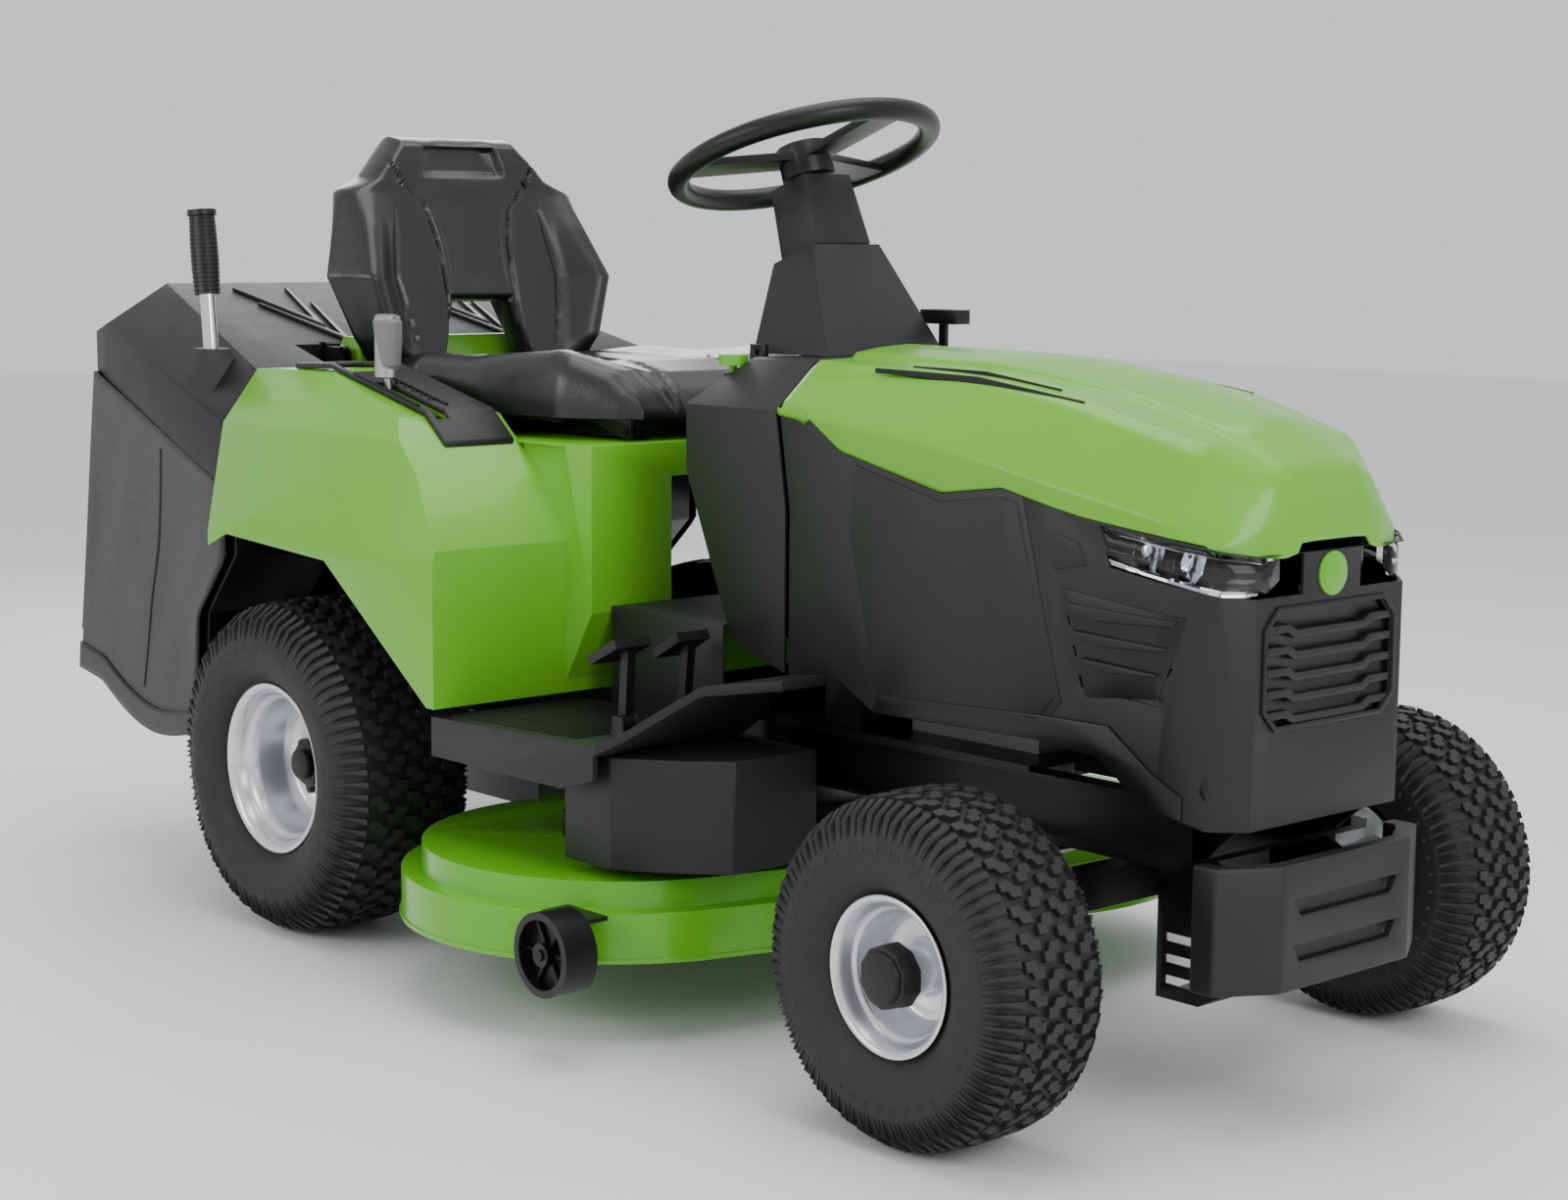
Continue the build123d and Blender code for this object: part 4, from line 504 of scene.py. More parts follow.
FRONT_RIM = [(-68, 86), (-66, 87), (-63, 84), (-60, 78), (-50, 75), (50, 75), (60, 78), (63, 84), (66, 87),
             (68, 86), (68, 83), (65, 79), (57, 75), (49, 72), (45, 67), (38, 65), (14, 61), (6, 56),
             (3, 46), (3, 33), (7, 28), (14, 26), (50, 25), (50, 9.8), (-57, 9.8), (-57, 24), (-4, 27),
             (-4, 56), (4, 64), (-46, 70), (-60, 76), (-66, 82), (-68, 86)]
REAR_RIM = [(-84, 116), (-82, 117), (-79, 113), (-76, 104), (-66, 101), (66, 101), (76, 104), (79, 113),
            (82, 117), (84, 116), (84, 112), (80, 106), (72, 102), (63, 99), (58, 93), (50, 90), (14, 84),
            (2, 78), (-3, 66), (-4, 48), (-4, 34), (-10, 33), (-10, 66), (-8, 80), (6, 90), (-62, 95),
            (-76, 101), (-82, 109), (-84, 116)]

for side_name, side in SIDES.items():
    front_centre = Vector(JOINTS[f"front_wheel_{side_name}_spin"]["pos_m"])
    rear_centre = Vector(JOINTS[f"rear_wheel_{side_name}_spin"]["pos_m"])
    turf_tyre(f"front_tyre_{side_name}", front_centre, FRONT_PROFILE, 6.4, 42, (-39, -13, 13, 39), 0.98)
    turf_tyre(f"rear_tyre_{side_name}", rear_centre, REAR_PROFILE, 7.4, 42, (-56, -28, 0, 28, 56), 1.08)

    for node, outline, centre in ((f"front_rim_{side_name}", FRONT_RIM, front_centre),
                                  (f"rear_rim_{side_name}", REAR_RIM, rear_centre)):
        rim = bmesh.new()
        turned(rim, eased([(side * a, r) for a, r in outline], 2.5, 2), centre, 80)
        bmesh.ops.recalc_face_normals(rim, faces=rim.faces)
        settle(f"{node}_dish", rim, SILVER, NODE_BODIES[node], (node,), 40.0)

    cap = bmesh.new()
    start = front_centre + Vector((0, side * 0.050, 0))
    ends = [start + Vector((0, side * step * MM, 0)) for step in (0, 24, 30)]
    turn = Matrix.Rotation(math.radians(-90 * side), 4, "X")
    for low, high, wide, narrow, sides in ((ends[0], ends[1], 36, 34, 10), (ends[1], ends[2], 30, 27, 10)):
        bmesh.ops.create_cone(cap, cap_ends=True, segments=sides, radius1=wide * MM, radius2=narrow * MM,
                              depth=(high - low).length, matrix=Matrix.Translation((low + high) / 2) @ turn)
    round_edges(cap, 1.6)
    settle(f"front_hub_cap_{side_name}", cap, BLACK, f"front_wheel_{side_name}", crease=25.0)

    hub = bmesh.new()
    for low, high, radius in ((-70, 26, 33), (26, 30, 30), (30, 40, 21), (-150, -70, 12.4)):
        span = [rear_centre + Vector((0, side * step * MM, 0)) for step in (low, high)]
        bmesh.ops.create_cone(hub, cap_ends=True, segments=40, radius1=radius * MM, radius2=radius * MM,
                              depth=(high - low) * MM,
                              matrix=Matrix.Translation((span[0] + span[1]) / 2) @ turn)
    for bolt in range(5):
        angle = math.radians(72 * bolt + 18)
        spot = rear_centre + Vector((math.cos(angle) * 52 * MM, side * 1.0 * MM, math.sin(angle) * 52 * MM))
        bmesh.ops.create_cone(hub, cap_ends=True, segments=6, radius1=9 * MM, radius2=8 * MM, depth=12 * MM,
                              matrix=Matrix.Translation(spot) @ turn)
    round_edges(hub, 1.2)
    settle(f"rear_hub_{side_name}", hub, DARK_STEEL, f"rear_wheel_{side_name}")

# ---------------------------------------------------------------- hood and nose

# distance forward, half width, edge height, shoulder half width, shoulder height, ridge height
HOOD_STATIONS = [(757, 212, 746, 150, 800, 818), (1015, 213, 722, 150, 793, 817),
                 (1185, 208, 690, 148, 770, 796), (1324, 184, 660, 132, 735, 760),
                 (1380, 158, 640, 112, 712, 740), (1408, 128, 624, 84, 700, 728)]
HOOD_EDGE = [(757, 748), (800, 743), (863, 703), (1029, 667), (1119, 679), (1150, 672), (1227, 655),
             (1330, 640), (1440, 616)]


def read_off(table, x):
    """The table's other columns at x, in proportion between its rows."""
    if x <= table[0][0]:
        return table[0][1:]
    for low, high in zip(table, table[1:]):
        if x <= high[0]:
            share = (x - low[0]) / (high[0] - low[0])
            return [a + (b - a) * share for a, b in zip(low[1:], high[1:])]
    return table[-1][1:]


def hood_height(x, y):
    """Height of the hood's top at a point."""
    _, _, shoulder, shoulder_z, ridge = read_off(HOOD_STATIONS, x)
    return ridge + (shoulder_z - ridge) * max(0.0, abs(y) - 20) / (shoulder - 20)


def hood_row(x):
    half, edge, shoulder, shoulder_z, ridge = read_off(HOOD_STATIONS, x)
    seam = read_off(HOOD_EDGE, x)[0]
    band = shoulder * 0.6
    return [(x, 0, ridge + 1), (x, band * 0.55, hood_height(x, band * 0.55) + 2),
            (x, band - 3, hood_height(x, band) + 2.5), (x, band + 5, hood_height(x, band) - 4),
            (x, (band + shoulder) / 2 + 6, hood_height(x, (band + shoulder) / 2 + 6)),
            (x, shoulder - 4, shoulder_z + 3), (x, shoulder + 10, shoulder_z - 6), (x, half - 7, edge + 9),
            (x, half, min(edge - 3, seam + (edge - seam) * 0.85 + 4)), (x, half, seam)]


HOOD_LIP = [[(1397, 0, 712), (1397, 34, 712), (1396, 58, 710), (1395, 68, 703), (1393, 84, 697),
             (1389, 98, 688), (1384, 116, 674), (1378, 134, 656), (1372, 148, 642), (1366, 160, 633)],
            [(1406, 0, 676), (1406, 34, 676), (1406, 56, 674), (1406, 66, 668), (1403, 84, 662),
             (1400, 100, 656), (1394, 118, 648), (1387, 136, 639), (1379, 150, 632), (1370, 160, 627)],
            [(1410, 0, 634), (1410, 34, 634), (1410, 57, 633), (1411, 64, 623), (1410, 80, 619),
             (1406, 96, 618), (1400, 114, 618), (1392, 132, 619), (1383, 146, 621), (1373, 157, 624)]]

rows = [two_sided(hood_row(x)) for x in
        (757, 800, 832, 863, 940, 1029, 1075, 1119, 1150, 1190, 1227, 1280, 1330)]
rows += [two_sided(row) for row in HOOD_LIP]
hood = swept(rows)
hood.verts.ensure_lookup_table()
corner_layer = hood.verts.layers.float.new("crease_vert")
for vert in hood.verts:
    if vert.is_boundary:
        vert[corner_layer] = 0.85
crease_edges(hood, lambda edge: edge.is_boundary, 0.85)
crease_edges(hood, lambda edge: (len(edge.link_faces) == 2
                                 and edge.calc_face_angle(0.0) > math.radians(16)), 0.45)
face_out(hood, lambda face: face.normal.z)
hood_piece = settle("hood_skin", hood, GREEN, "hood", ("hood_top",), 60.0)
smooth_skin(hood_piece, 3)
wall(hood_piece, 4.0)

louvres = bmesh.new()
slots = bmesh.new()
for side in SIDES.values():
    for start_x, end_x, near, width in ((868, 1180, 160, 9), (905, 1130, 134, 7)):
        outline = []
        for share in (0.0, 0.12, 0.5, 0.85, 1.0):
            swell = math.sin(math.pi * min(1.0, share * 1.1 + 0.02)) * width
            outline.append((start_x + (end_x - start_x) * share, near - (near - 108) * 0.3 * share, swell))
        for bm, lift, shrink in ((louvres, 2.2, 1.0), (slots, 3.0, 0.55)):
            ring_points = [(x, side * (y + swell * shrink / 2 + (2 if shrink < 1 else 0)))
                           for x, y, swell in outline]
            ring_points += [(x, side * (y - swell * shrink / 2 + (2 if shrink < 1 else 0)))
                            for x, y, swell in reversed(outline[1:-1])]
            verts = [bm.verts.new(place(x, y, hood_height(x, y) - 3)) for x, y in ring_points]
            face = bm.faces.new(verts)
            grown = bmesh.ops.extrude_face_region(bm, geom=[face])["geom"]
            bmesh.ops.translate(bm, vec=(0, 0, (lift + 3) * MM),
                                verts=[item for item in grown if isinstance(item, bmesh.types.BMVert)])
for bm, name, look, slot_name in ((louvres, "hood_louvre_rims", GREEN, "green_panel"),
                                  (slots, "hood_louvre_slots", BLACK, "black_plastic")):
    bmesh.ops.recalc_face_normals(bm, faces=bm.faces)
    settle(name, bm, look, "hood")


def hugging(outline, side, low, high, name, look, width=2.5):
    """A plate on the hood's side that follows its curve, from low to high proud of it."""
    bm = bmesh.new()
    plate(bm, outline, "Y", low, high)
    for shift in range(4):
        cut_x = 1015 + shift * 103
        bmesh.ops.bisect_plane(bm, geom=bm.verts[:] + bm.edges[:] + bm.faces[:], plane_co=place(cut_x, 0, 0),
                               plane_no=(1, 0, 0))
    for vert in bm.verts:
        x = (vert.co.x - AXLE_X) / MM
        vert.co.y = side * (vert.co.y + read_off(HOOD_STATIONS, x)[0] * MM)
    bmesh.ops.recalc_face_normals(bm, faces=bm.faces)
    round_edges(bm, width)
    return settle(name, bm, look, "hood")


FRONT_PANEL = [(890, 689), (1029, 657), (1119, 669), (1143, 664), (1198, 455), (1165, 412), (932, 410),
               (928, 436), (884, 603)]
for side_name, side in SIDES.items():
    hugging(FRONT_PANEL, side, -3, 2.6, f"front_panel_{side_name}", CHARCOAL)
    hugging([(1175, 640), (1225, 628), (1236, 604), (1196, 596)], side, -3, 1.6, f"lamp_brow_{side_name}",
            CHARCOAL, 1.0)
    hugging([(1207, 577), (1352, 556), (1326, 468), (1238, 462)], side, -3, 1.4, f"vent_field_{side_name}",
            BLACK, 1.2)
    for fin, (left, right, high, drop) in enumerate(((1214, 1344, 562, 15), (1222, 1336, 533, 13),
                                                     (1232, 1328, 504, 11))):
        hugging([(left, high), (right, high - 9), (right - 3, high - drop), (left + 34, high - drop - 2),
                 (left + 6, high - drop * 0.55)], side, 0.8, 6.0, f"vent_fin_{fin}_{side_name}", CHARCOAL,
                1.6)
    hugging([(924, 404), (1171, 408), (1257, 399), (1305, 356), (1352, 340), (1352, 366), (1318, 392),
             (1268, 434), (1180, 436), (936, 426)], side, -2, 4.5, f"lower_lip_{side_name}", BLACK,
            2.0)

lip = bmesh.new()
plate(lip, [(-150, 332), (150, 332), (164, 372), (160, 408), (112, 412), (92, 424), (-92, 424), (-112, 412),
            (-160, 408), (-164, 372)], "X", 1384, 1412)
for vert in lip.verts:
    y = abs(vert.co.y / MM)
    vert.co.x -= max(0.0, y - 92) * 0.52 * MM
    vert.co.x += (vert.co.z / MM - 378) * -0.06 * MM
round_edges(lip, 4.0)
settle("chin", lip, BLACK, "hood")

frame_bm = bmesh.new()
outer = [(-116, 456), (-94, 434), (94, 434), (116, 456), (116, 544), (94, 568), (-94, 568), (-116, 544)]
plate(frame_bm, outer, "X", 1400, 1411)
front = max(frame_bm.faces, key=lambda face: face.calc_center_median().x)
bmesh.ops.inset_region(frame_bm, faces=[front], thickness=7 * MM, depth=0)
front = max(frame_bm.faces, key=lambda face: (face.calc_center_median().x,
                                              -abs(face.calc_center_median().z - 0.501)))
grown = bmesh.ops.extrude_discrete_faces(frame_bm, faces=[front])["faces"]
bmesh.ops.translate(frame_bm, verts=list({v for f in grown for v in f.verts}), vec=(-14 * MM, 0, 0))
round_edges(frame_bm, 1.8)
settle("grille_frame", frame_bm, BLACK, "hood", ("grille",))

bars = bmesh.new()
for index in range(5):
    z = 548 - index * 23
    plate(bars, [(-107, z), (-70, z), (-58, z - 7), (58, z - 7), (70, z), (107, z), (107, z - 9), (74, z - 9),
                 (62, z - 16), (-62, z - 16), (-74, z - 9), (-107, z - 9)], "X", 1399, 1409)
round_edges(bars, 1.6)
settle("grille_bars", bars, CHARCOAL, "hood")

badge = bmesh.new()
bar(badge, (1400, 0, 597), (1410.5, 0, 597), 24, sides=48)
bar(badge, (1400, 0, 597), (1411.5, 0, 597), 19, sides=48)
round_edges(badge, 1.0)
settle("plain_badge", badge, GREEN_DECK, "hood")

# ---------------------------------------------------------------- headlights

LAMP_PATH = [(1240, 198.5, 650, 647), (1262, 195, 646, 607), (1300, 189, 640, 600), (1335, 179, 633, 592),
             (1366, 165, 628, 584), (1383, 153, 625, 580), (1399, 132, 622, 580), (1408, 110, 620, 584),
             (1409, 92, 619, 596)]


def lamp_rows(back, drop):
    made = []
    for x, y, top, bottom in LAMP_PATH:
        made.append([(x - back, y - back * 0.8, top - drop), (x - back, y - back * 0.8, (top + bottom) / 2),
                     (x - back, y - back * 0.8, bottom + drop)])
    return made


for side_name, side in SIDES.items():
    for name, look, back, slot_name in (("lens", LENS, 0.5, "lamp_lens"),
                                        ("lamp_housing", BLACK, 30, "black_plastic")):
        bm = swept([[(x, side * y, z) for x, y, z in row]
                    for row in lamp_rows(back, 0 if name == "lens" else -8)])
        face_out(bm, lambda face: face.normal.y * side)
        piece = settle(f"{name}_{side_name}", bm, look, "hood",
                       ("headlights",) if name == "lens" else (), 40.0)
        wall(piece, 2.2)
    lamps = bmesh.new()
    for x, y, z, size in ((1292, 168, 622, 17), (1338, 158, 611, 17)):
        centre = place(x, side * y, z)
        aim = Vector((0.8, side * 0.6, 0)).to_track_quat("Z", "Y").to_matrix().to_4x4()
        bmesh.ops.create_cone(lamps, cap_ends=False, segments=12, radius1=5 * MM, radius2=size * MM,
                              depth=20 * MM, matrix=Matrix.Translation(centre) @ aim)
        bmesh.ops.create_icosphere(lamps, subdivisions=2, radius=7 * MM, matrix=Matrix.Translation(centre))
    for (x1, y1, top1, bottom1), (x2, y2, top2, bottom2) in zip(LAMP_PATH[1:6], LAMP_PATH[2:7]):
        for level in (0.12, 0.86):
            bar(lamps, (x1 - 8, side * (y1 - 7), top1 + (bottom1 - top1) * level),
                (x2 - 8, side * (y2 - 7), top2 + (bottom2 - top2) * level), 3.2, sides=8)
    settle(f"reflectors_{side_name}", lamps, CHROME, "hood", crease=15.0)

# ---------------------------------------------------------------- covers that keep the frame's shape

SOFT_EDGES = {"rear_fender": 9.0, "deck_shell": 6.0, "hood_panels": 5.0, "front_fascia": 4.0,
              "dash_cowl": 8.0, "steering_column": 5.0, "footboards": 3.0, "side_shrouds": 5.0,
              "centre_step": 6.0, "bumper": 4.0, "bumper_bracket": 0.8, "height_console": 3.0,
              "belt_cover": 4.0, "steering_wheel": 2.5, "seat_pan": 2.0, "throttle_lever": 3.0,
              "ignition_key": 1.5}
for node, width in SOFT_EDGES.items():
    softened(node, width)


# ---------------------------------------------------------------- seat

SEAT_BOTTOM = 712.8
BACK_TOP = 1090.0
BACK_ROLL = 15.0
CUSHION_ROLL = 30.0
BACK_SPINE = [(712, -118.5), (776, -119), (900, -149), (1020, -184), (1090, -207)]
BACK_REAR = [(712, -178), (790, -180), (900, -214), (1082, -260), (1090, -258)]
BACK_HALF = [(712, 152), (800, 214), (888, 243), (1010, 203), (1028, 160), (1090, 101)]
BACK_WING = [(712, 0), (764, 2), (800, 27), (888, 42), (960, 24), (1012, 5), (1040, 0)]
BACK_CHANNEL = [(712, 60), (930, 62), (985, 74), (1026, 112), (1090, 150)]
LUMBAR = (772.0, 850.0)
LUMBAR_HALF = (71.0, 46.0)
CUSHION_HALF = [(-116, 188), (20, 236), (180, 238), (330, 218), (400, 172), (422, 148)]
CUSHION_TOP = [(-116, 774), (-40, 776), (120, 772), (300, 787), (375, 772), (422, 736)]


def line_at(table, x):
    """The value at x on a line of (x, value) points, held level past both ends."""
    return read_off(table, x)[0]


def eased_step(low, high, value):
    t = min(1.0, max(0.0, (value - low) / (high - low)))
    return t * t * (3 - 2 * t)


def window(start, full, fading, end, value):
    """1 between full and fading, easing to 0 at start and at end."""
    return eased_step(start, full, value) * (1 - eased_step(fading, end, value))


def rounded(distance, radius):
    """How far a rolled edge has swelled, from 0 on the edge to 1 past its radius."""
    t = 1 - min(1.0, max(0.0, distance) / radius)
    return math.sqrt(max(0.0, 1 - t * t))


def groove(distance, width, depth):
    """A sewn channel: a narrow valley with the padding swelling beside it."""
    swell = math.exp(-((abs(distance) - 3.4 * width) / (2 * width)) ** 2)
    return depth * (math.exp(-(distance / width) ** 2) - 0.35 * swell)


def clustered(low, high, count):
    """Steps from low to high that crowd together at both ends."""
    return [low + (high - low) * (1 - math.cos(math.pi * i / count)) / 2 for i in range(count + 1)]


def two_skins(name, rows, across, front, rear, keep, look, body, stands_for):
    """A closed form: a front and a rear skin over one net of points, joined along every edge."""
    bm = bmesh.new()
    for skin in (front, rear):
        net = [[bm.verts.new(place(*skin(row, t))) for t in across] for row in rows]
        for i, j in product(range(len(rows) - 1), range(len(across) - 1)):
            if keep(i, j):
                bm.faces.new((net[i][j], net[i][j + 1], net[i + 1][j + 1], net[i + 1][j]))
    bmesh.ops.delete(bm, geom=[vert for vert in bm.verts if not vert.link_faces], context="VERTS")
    bmesh.ops.remove_doubles(bm, verts=bm.verts, dist=5e-5)
    bmesh.ops.recalc_face_normals(bm, faces=bm.faces)
    return settle(name, bm, look, body, stands_for, 48.0)


INNER_STEPS = 10
OUTER_STEPS = 46
INNER_SHARES = [i / INNER_STEPS for i in range(INNER_STEPS)]
OUTER_SHARES = [i / OUTER_STEPS for i in range(OUTER_STEPS)]
BACK_ACROSS = ([share - 2 for share in OUTER_SHARES] + [share - 1 for share in INNER_SHARES] + INNER_SHARES
               + [share + 1 for share in OUTER_SHARES] + [2.0])
LOW_ROWS = clustered(SEAT_BOTTOM, LUMBAR[0], 14)
HOLE_ROWS = clustered(LUMBAR[0], LUMBAR[1], 20)
HIGH_ROWS = clustered(LUMBAR[1], BACK_TOP, 62)
BACK_ROWS = LOW_ROWS + HOLE_ROWS[1:] + HIGH_ROWS[1:]


def hole_half(z):
    low, high = LUMBAR
    t = min(1.0, max(0.0, (z - low) / (high - low)))
    return LUMBAR_HALF[0] + (LUMBAR_HALF[1] - LUMBAR_HALF[0]) * t


def back_point(z, t):
    """Where a net point lies across the seat's back, and its distance from the nearest edge."""
    hole, half = hole_half(z), line_at(BACK_HALF, z)
    if abs(t) <= 1:
        y = abs(t) * hole
    else:
        y = hole + (half - hole) * (1 - math.cos(math.pi * (abs(t) - 1))) / 2
    opening = max(y - hole, z - LUMBAR[1], LUMBAR[0] - z)
    edge = min((half - y) * 0.9, BACK_TOP - z, z - SEAT_BOTTOM, max(0.0, opening))
    return math.copysign(y, t), half, edge


def back_front(z, t):
    y, half, edge = back_point(z, t)
    side = abs(y)
    spine, rear = line_at(BACK_SPINE, z), line_at(BACK_REAR, z)
    wing = line_at(BACK_WING, z)
    rise = wing * eased_step(0.60 * half, 0.84 * half, side)
    rise -= wing * 1.5 * eased_step(0.86 * half, half, side)
    rise += 9 * eased_step(half * 0.3, half * 0.62, side) * eased_step(1010, 1060, z)
    rise += -6 * math.exp(-((side / 44) ** 2)) * window(860, 900, 990, 1020, z)
    rise += groove(side - line_at(BACK_CHANNEL, z), 2.4, -5.0) * eased_step(725, 745, z)
    rise += groove(side - 0.60 * half, 2.2, -3.5) * window(770, 800, 990, 1012, z)
    rest = 76 - (z - 1034) * 0.25
    rise -= 9 * window(1032, 1040, 1070, 1079, z) * (1 - eased_step(rest - 6, rest, side))
    middle = (spine + rear) / 2
    return middle + (spine + rise - middle) * rounded(edge, BACK_ROLL), y, z


def back_rear(z, t):
    y, half, edge = back_point(z, t)
    spine, rear = line_at(BACK_SPINE, z), line_at(BACK_REAR, z)
    wing = line_at(BACK_WING, z)
    lift = wing * eased_step(0.72 * half, 0.97 * half, abs(y)) * 0.9
    middle = (spine + rear) / 2
    return middle + (rear + lift - middle) * rounded(edge, BACK_ROLL), y, z


def back_keep(i, j):
    in_hole = LUMBAR[0] - 0.01 < BACK_ROWS[i] and BACK_ROWS[i + 1] < LUMBAR[1] + 0.01
    return not (in_hole and abs(BACK_ACROSS[j] + BACK_ACROSS[j + 1]) < 2)


seat_back_pad = two_skins("seat_back_pad", BACK_ROWS, BACK_ACROSS, back_front, back_rear, back_keep, VINYL,
                          "seat", ("seat_back",))

CUSHION_REAR = -127.0
CUSHION_FRONT = 422.0
CUSHION_ROWS = clustered(CUSHION_REAR, CUSHION_FRONT, 110)
CUSHION_ACROSS = [math.sin(math.pi / 2 * (i / 48 - 1)) for i in range(97)]


def cushion_edge(x, t):
    half = line_at(CUSHION_HALF, x)
    y = t * half
    return y, half, min((half - abs(y)) * 0.92, x - CUSHION_REAR, CUSHION_FRONT - x)


def cushion_crown(x, t):
    y, half, edge = cushion_edge(x, t)
    side = abs(y)
    top = line_at(CUSHION_TOP, x)
    top += 13 * eased_step(0.58 * half, 0.82 * half, side) * window(-100, 30, 300, 400, x)
    top -= 10 * (1 - eased_step(0, 0.62 * half, side)) * window(-60, 40, 190, 310, x)
    top += groove(side - 70 - 16 * eased_step(250, 400, x), 2.4, -5.0)
    top += groove(side - 0.62 * half, 2.4, -4.5) * eased_step(-100, -70, x)
    across = groove(x - 232 - 22 * math.cos(math.pi * y / half), 2.6, -4.5)
    top += across * (1 - eased_step(0.6 * half, 0.64 * half, side))
    top += 4 * math.cos(math.pi * (x - 60) / 230) * (1 - eased_step(0.5 * half, 0.6 * half, side))
    return x, y, SEAT_BOTTOM + (top - SEAT_BOTTOM) * rounded(edge, CUSHION_ROLL) ** 0.8


def cushion_base(x, t):
    return x, cushion_edge(x, t)[0], SEAT_BOTTOM


cushion_pad = two_skins("seat_cushion_pad", CUSHION_ROWS, CUSHION_ACROSS, cushion_crown, cushion_base,
                        lambda row, column: True, VINYL, "seat", ("seat_cushion",))

# ---------------------------------------------------------------- grass collector

# the front edge of the bag's side: height, place along X
BAG_FRONT = [(236, -264), (410, -248), (500, -158), (599, -158)]
BAG_STEPS = 24
BAG_CORNER = 14
CORNER_STEPS = 8
BACK_STEPS = 12


def bag_ring(level):
    """One ring of the bag's side wall, from the right front corner round the back to the left one."""
    half = []
    for i in range(BAG_STEPS + 1):
        t = i / BAG_STEPS
        top = (-158 - 446 * t, 598 + 142 * t)
        low = (-262 - 418 * t, 240 + 42 * t - 38 * math.sin(math.pi * min(1.0, t * 1.25)) * 0.9)
        x = top[0] + (low[0] - top[0]) * level
        z = top[1] + (low[1] - top[1]) * level
        x += (line_at(BAG_FRONT, z) - (-158 - 104 * level)) * (1 - t) ** 3
        out = line_at([(-690, 381.5), (-155, 433.0)], x)
        slack = 9.0 * math.sin(math.pi * min(1.0, level * 1.1)) * math.sin(math.pi * t) ** 0.7
        billow = math.sin(math.pi * level)
        folds = 2.2 * math.sin(9 * t + 5 * level) * billow + 1.4 * math.sin(23 * t - 7 * level)
        half.append((x, out - slack * 0.75 - 2.5 + folds * 0.5 * billow, z))
    back = []
    x, y, z = half[-1]
    for i in range(1, CORNER_STEPS + 1):
        turn = math.pi / 2 * i / CORNER_STEPS
        back.append((x - BAG_CORNER * math.sin(turn) * (0.35 + 0.65 * level),
                     y - BAG_CORNER * (1 - math.cos(turn)), z))
    x, y, z = back[-1]
    for i in range(1, BACK_STEPS + 1):
        t = i / BACK_STEPS
        back.append((x + 5.0 * math.sin(math.pi * t / 2) * math.sin(math.pi * level), y * (1 - t), z))
    path = half + back
    return [(px, -py, pz) for px, py, pz in path] + [(px, py, pz) for px, py, pz in reversed(path[:-1])]


def away_from_middle(face):
    return face.normal.y * face.calc_center_median().y


BAG_LEVELS = [0.0, 0.03, 0.06] + [0.06 + 0.82 * i / 20 for i in range(1, 21)] + [0.9, 0.93, 0.96, 1.0]
bag_rows = [bag_ring(level) for level in BAG_LEVELS]
bag_wall = swept(bag_rows)
face_out(bag_wall, away_from_middle)
bag_cloth = settle("bag_cloth", bag_wall, WEAVE, "collector", ("collector_bag",), 60.0)
wall(bag_cloth, 3.0)

strip = swept([[(x - 1.5, y * 1.008, z - drop) for x, y, z in bag_ring(level)]
               for level, drop in ((0.925, 0), (0.94, 0), (0.99, 2), (1.0, 6))])
face_out(strip, away_from_middle)
wall(settle("bag_bottom_strip", strip, BLACK, "collector", crease=60.0), 3.5)

seams = bmesh.new()
for column in (11, BAG_STEPS + 4, -12, -BAG_STEPS - 5):
    line = [row[column] for row in bag_rows[2:-4]]
    for start, end in zip(line, line[1:]):
        bar(seams, start, end, 2.4, sides=8)
settle("bag_seams", seams, BLACK, "collector", crease=60.0)

liner = joined_copy("collector_bag")
for vert in liner.verts:
    if abs(vert.co.y) > 0.30:
        vert.co.y -= math.copysign(0.015, vert.co.y)
    if (vert.co.x - AXLE_X) / MM < -560:
        vert.co.x += 0.014
round_edges(liner, 3.0)
settle("bag_liner", liner, BLACK, "collector")

lid = softened("collector_lid", 6.0, BLACK)
lid.data.materials.append(GRAINED)
lid.data.materials.append(CHARCOAL)
for polygon in lid.data.polygons:
    if polygon.normal.z > 0.86 and abs(polygon.center.y) < 0.372:
        polygon.material_index = 1
    elif abs(polygon.normal.z) < 0.35:
        polygon.material_index = 2

vents = bmesh.new()
for side in SIDES.values():
    for shift in (0, 74):
        plate(vents, [(-520 + shift, side * 196), (-505 + shift, side * 196), (-330 + shift, side * 150),
                      (-505 + shift, side * 104), (-520 + shift, side * 104), (-362 + shift, side * 150)],
              "Z", 0, 7)
for vert in vents.verts:
    vert.co.z += (758 - ((vert.co.x - AXLE_X) / MM + 155) * 0.2815) * MM - 0.0005
round_edges(vents, 1.6)
settle("lid_vents", vents, BLACK, "collector")

HANDLE_Y = -383


def handle_point(z):
    """The middle of the leaning draw handle at a height."""
    return -258 - 0.098 * (z - 740), HANDLE_Y, z


GRIP_RINGS = 19
GRIP_RING = 5.9
grip = bmesh.new()
for ring in range(GRIP_RINGS):
    z = 862 + ring * GRIP_RING
    swell = 1.6 * math.sin(math.pi * ring / (GRIP_RINGS - 1))
    bar(grip, handle_point(z), handle_point(z + GRIP_RING), 18.6 + swell, 17.5 + swell, sides=28)
bar(grip, (-280.8, HANDLE_Y, 973), (-281.6, HANDLE_Y, 980.8), 20.9, 20.3, sides=28)
settle("handle_grip", grip, BLACK, "collector_handle")

# ---------------------------------------------------------------- lever, gate, mats and small parts

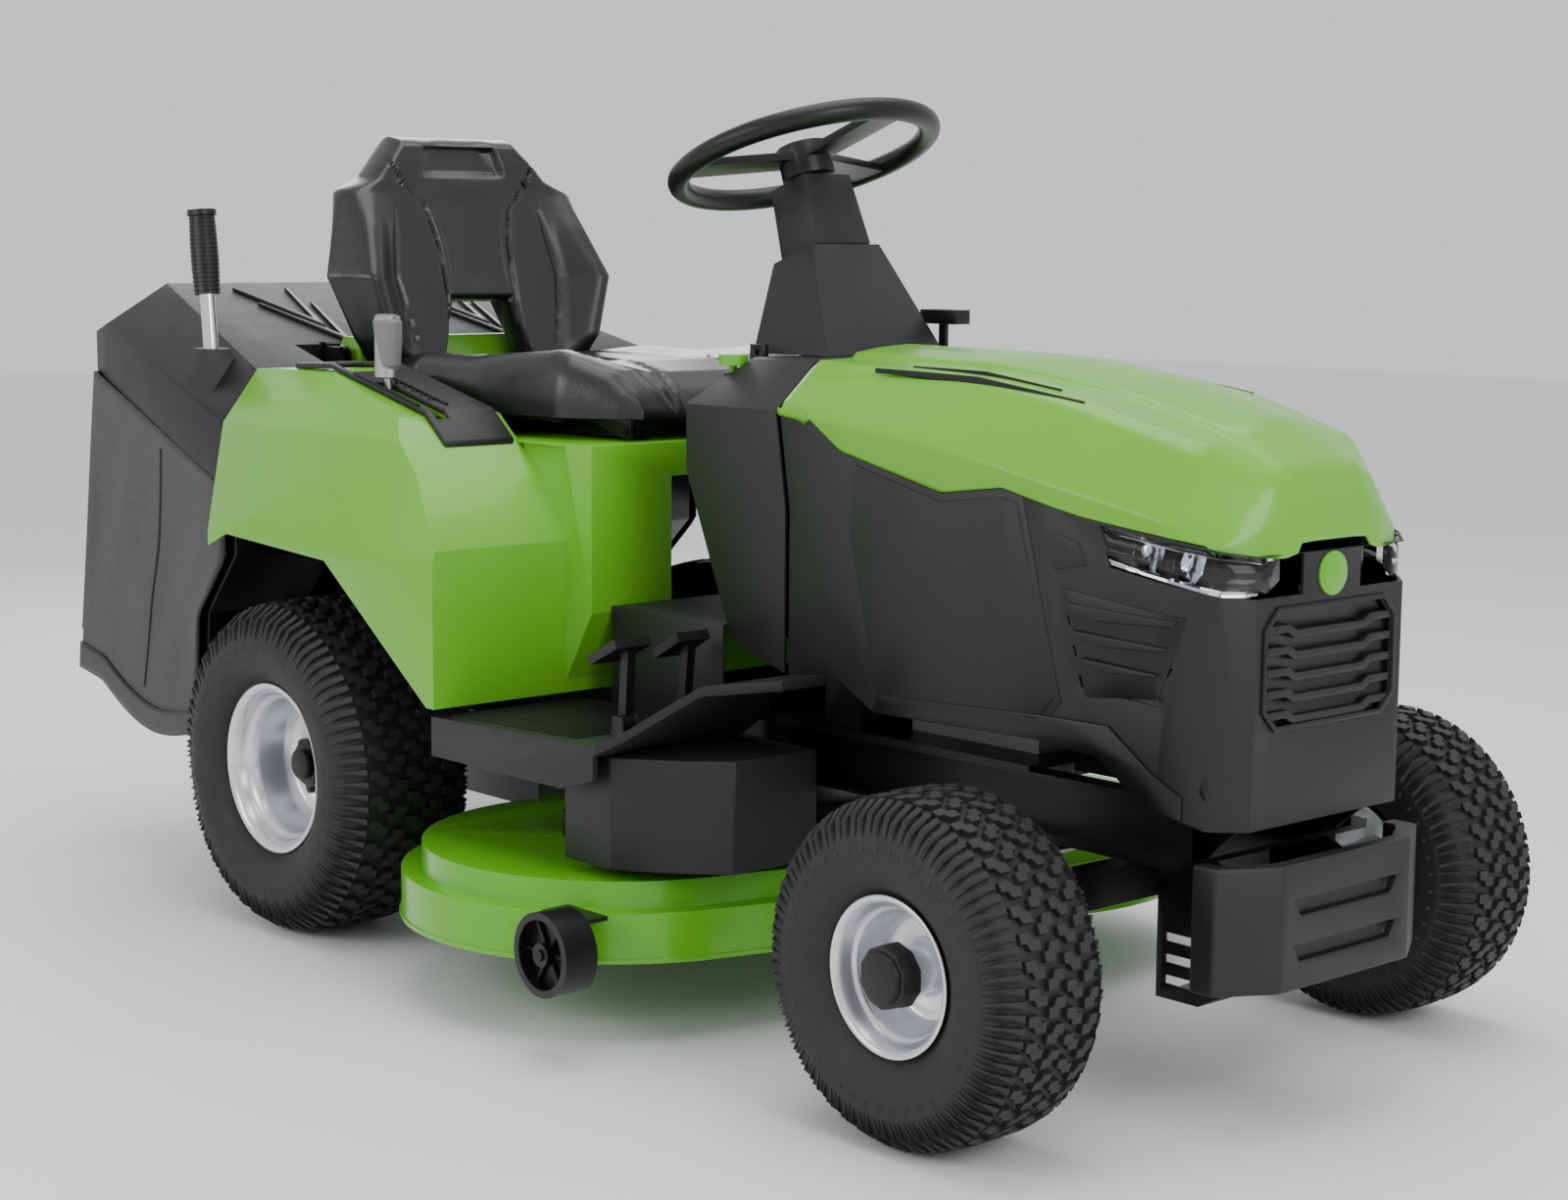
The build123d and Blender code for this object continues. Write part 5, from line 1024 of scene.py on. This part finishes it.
LEVER_Y = -350
lever = bmesh.new()
for start, end, low, high in ((760, 778, 11.0, 17.6), (778, 812, 17.6, 19.4), (812, 834, 19.4, 20.6),
                              (834, 843.4, 20.6, 15.0)):
    bar(lever, (134, LEVER_Y, start), (134.4, LEVER_Y, end), low, high, sides=28)
bmesh.ops.remove_doubles(lever, verts=lever.verts, dist=0.0002)
for vert in lever.verts:
    vert.co.y = LEVER_Y * MM + (vert.co.y - LEVER_Y * MM) * 0.9
    vert.co.x += 0.0035 * math.sin(math.pi * (vert.co.z - 0.76) / 0.083)
settle("lever_grip", lever, GREY_GRIP, "height_lever")


def console_height(x):
    return line_at([(-60, 773.3), (30, 776.3), (250, 724.3), (296, 686.3)], x)


gate = bmesh.new()
for index in range(7):
    x = 92 + index * 19
    bar(gate, (x, -331, console_height(x) - 3), (x, -331, console_height(x) + 2.2), 5.4, 4.6, sides=20)
for start, end in ((84, 150), (150, 232)):
    for y in (-324, -368):
        bar(gate, (start, y, console_height(start) + 0.6), (end, y, console_height(end) + 0.6), 2.6, sides=10)
settle("gate_rack", gate, DARK_STEEL, "chassis")

BOARD_TOP = 358.0
for side_name, side in SIDES.items():
    mat = bmesh.new()
    for row in range(21):
        x = 386 + row * 12.2
        z = BOARD_TOP - 8 + 8 * (x - 372) / 328
        box_bar(mat, (x, x + 6), sorted((side * 236, side * 428)), (z - 3, z + 1.8))
    round_edges(mat, 0.8, steps=1)
    settle(f"mat_ribs_{side_name}", mat, BLACK, "chassis")

# ---------------------------------------------------------------- camera, floor and light

def look_along(position, yaw, pitch, roll):
    """A camera turned by yaw from +X, tipped down by pitch and rolled."""
    yaw, pitch, roll = (math.radians(angle) for angle in (yaw, pitch, roll))
    ahead = Vector((math.cos(pitch) * math.cos(yaw), math.cos(pitch) * math.sin(yaw), -math.sin(pitch)))
    right = ahead.cross(Vector((0, 0, 1))).normalized()
    up = right.cross(ahead)
    turned_right = math.cos(roll) * right + math.sin(roll) * up
    turned_up = -math.sin(roll) * right + math.cos(roll) * up
    turn = Matrix((turned_right, turned_up, -ahead)).transposed()
    return Matrix.Translation(position) @ turn.to_4x4()


camera_data = bpy.data.cameras.new("camera")
camera_data.lens = 62.26
camera_data.sensor_width = 36.0
camera = bpy.data.objects.new("camera", camera_data)
scene.collection.objects.link(camera)
camera.matrix_world = look_along(Vector((2.7790, -2.3612, 0.9512)), 138.017, 7.671, 0.39)
scene.camera = camera

floor_bm = bmesh.new()
bmesh.ops.create_grid(floor_bm, x_segments=1, y_segments=1, size=14.0)
floor_mesh = bpy.data.meshes.new("floor")
floor_bm.to_mesh(floor_mesh)
floor_bm.free()
floor = bpy.data.objects.new("floor", floor_mesh)
scene.collection.objects.link(floor)
floor_look, floor_tree, floor_shader, floor_coords = new_material("pale_floor")
floor_tree.links.new(tint(floor_tree, noise(floor_tree, floor_coords, 0.8), (0.84, 0.84, 0.84),
                          (0.87, 0.87, 0.87)), floor_shader.inputs["Base Color"])
floor_shader.inputs["Roughness"].default_value = 0.6
floor_mesh.materials.append(floor_look)

world = bpy.data.worlds.new("studio")
world.use_nodes = True
world.node_tree.nodes["Background"].inputs["Color"].default_value = (0.95, 0.97, 1.0, 1)
world.node_tree.nodes["Background"].inputs["Strength"].default_value = 0.9
scene.world = world


def soft_light(name, position, target, size, power):
    data = bpy.data.lights.new(name, "AREA")
    data.shape = "RECTANGLE"
    data.size, data.size_y = size
    data.energy = power
    lamp = bpy.data.objects.new(name, data)
    scene.collection.objects.link(lamp)
    lamp.location = position
    lamp.rotation_mode = "QUATERNION"
    lamp.rotation_quaternion = (Vector(target) - Vector(position)).to_track_quat("-Z", "Y")


soft_light("top_light", (0.3, 0.2, 3.6), (0, 0, 0.4), (3.6, 2.4), 70)
soft_light("front_light", (3.6, -0.6, 1.9), (0.5, 0, 0.5), (1.6, 1.6), 40)
soft_light("right_light", (-0.4, -3.6, 2.0), (0, 0, 0.5), (2.6, 1.2), 35)
soft_light("rear_light", (-3.2, 1.6, 2.2), (-0.3, 0, 0.7), (1.8, 1.4), 35)
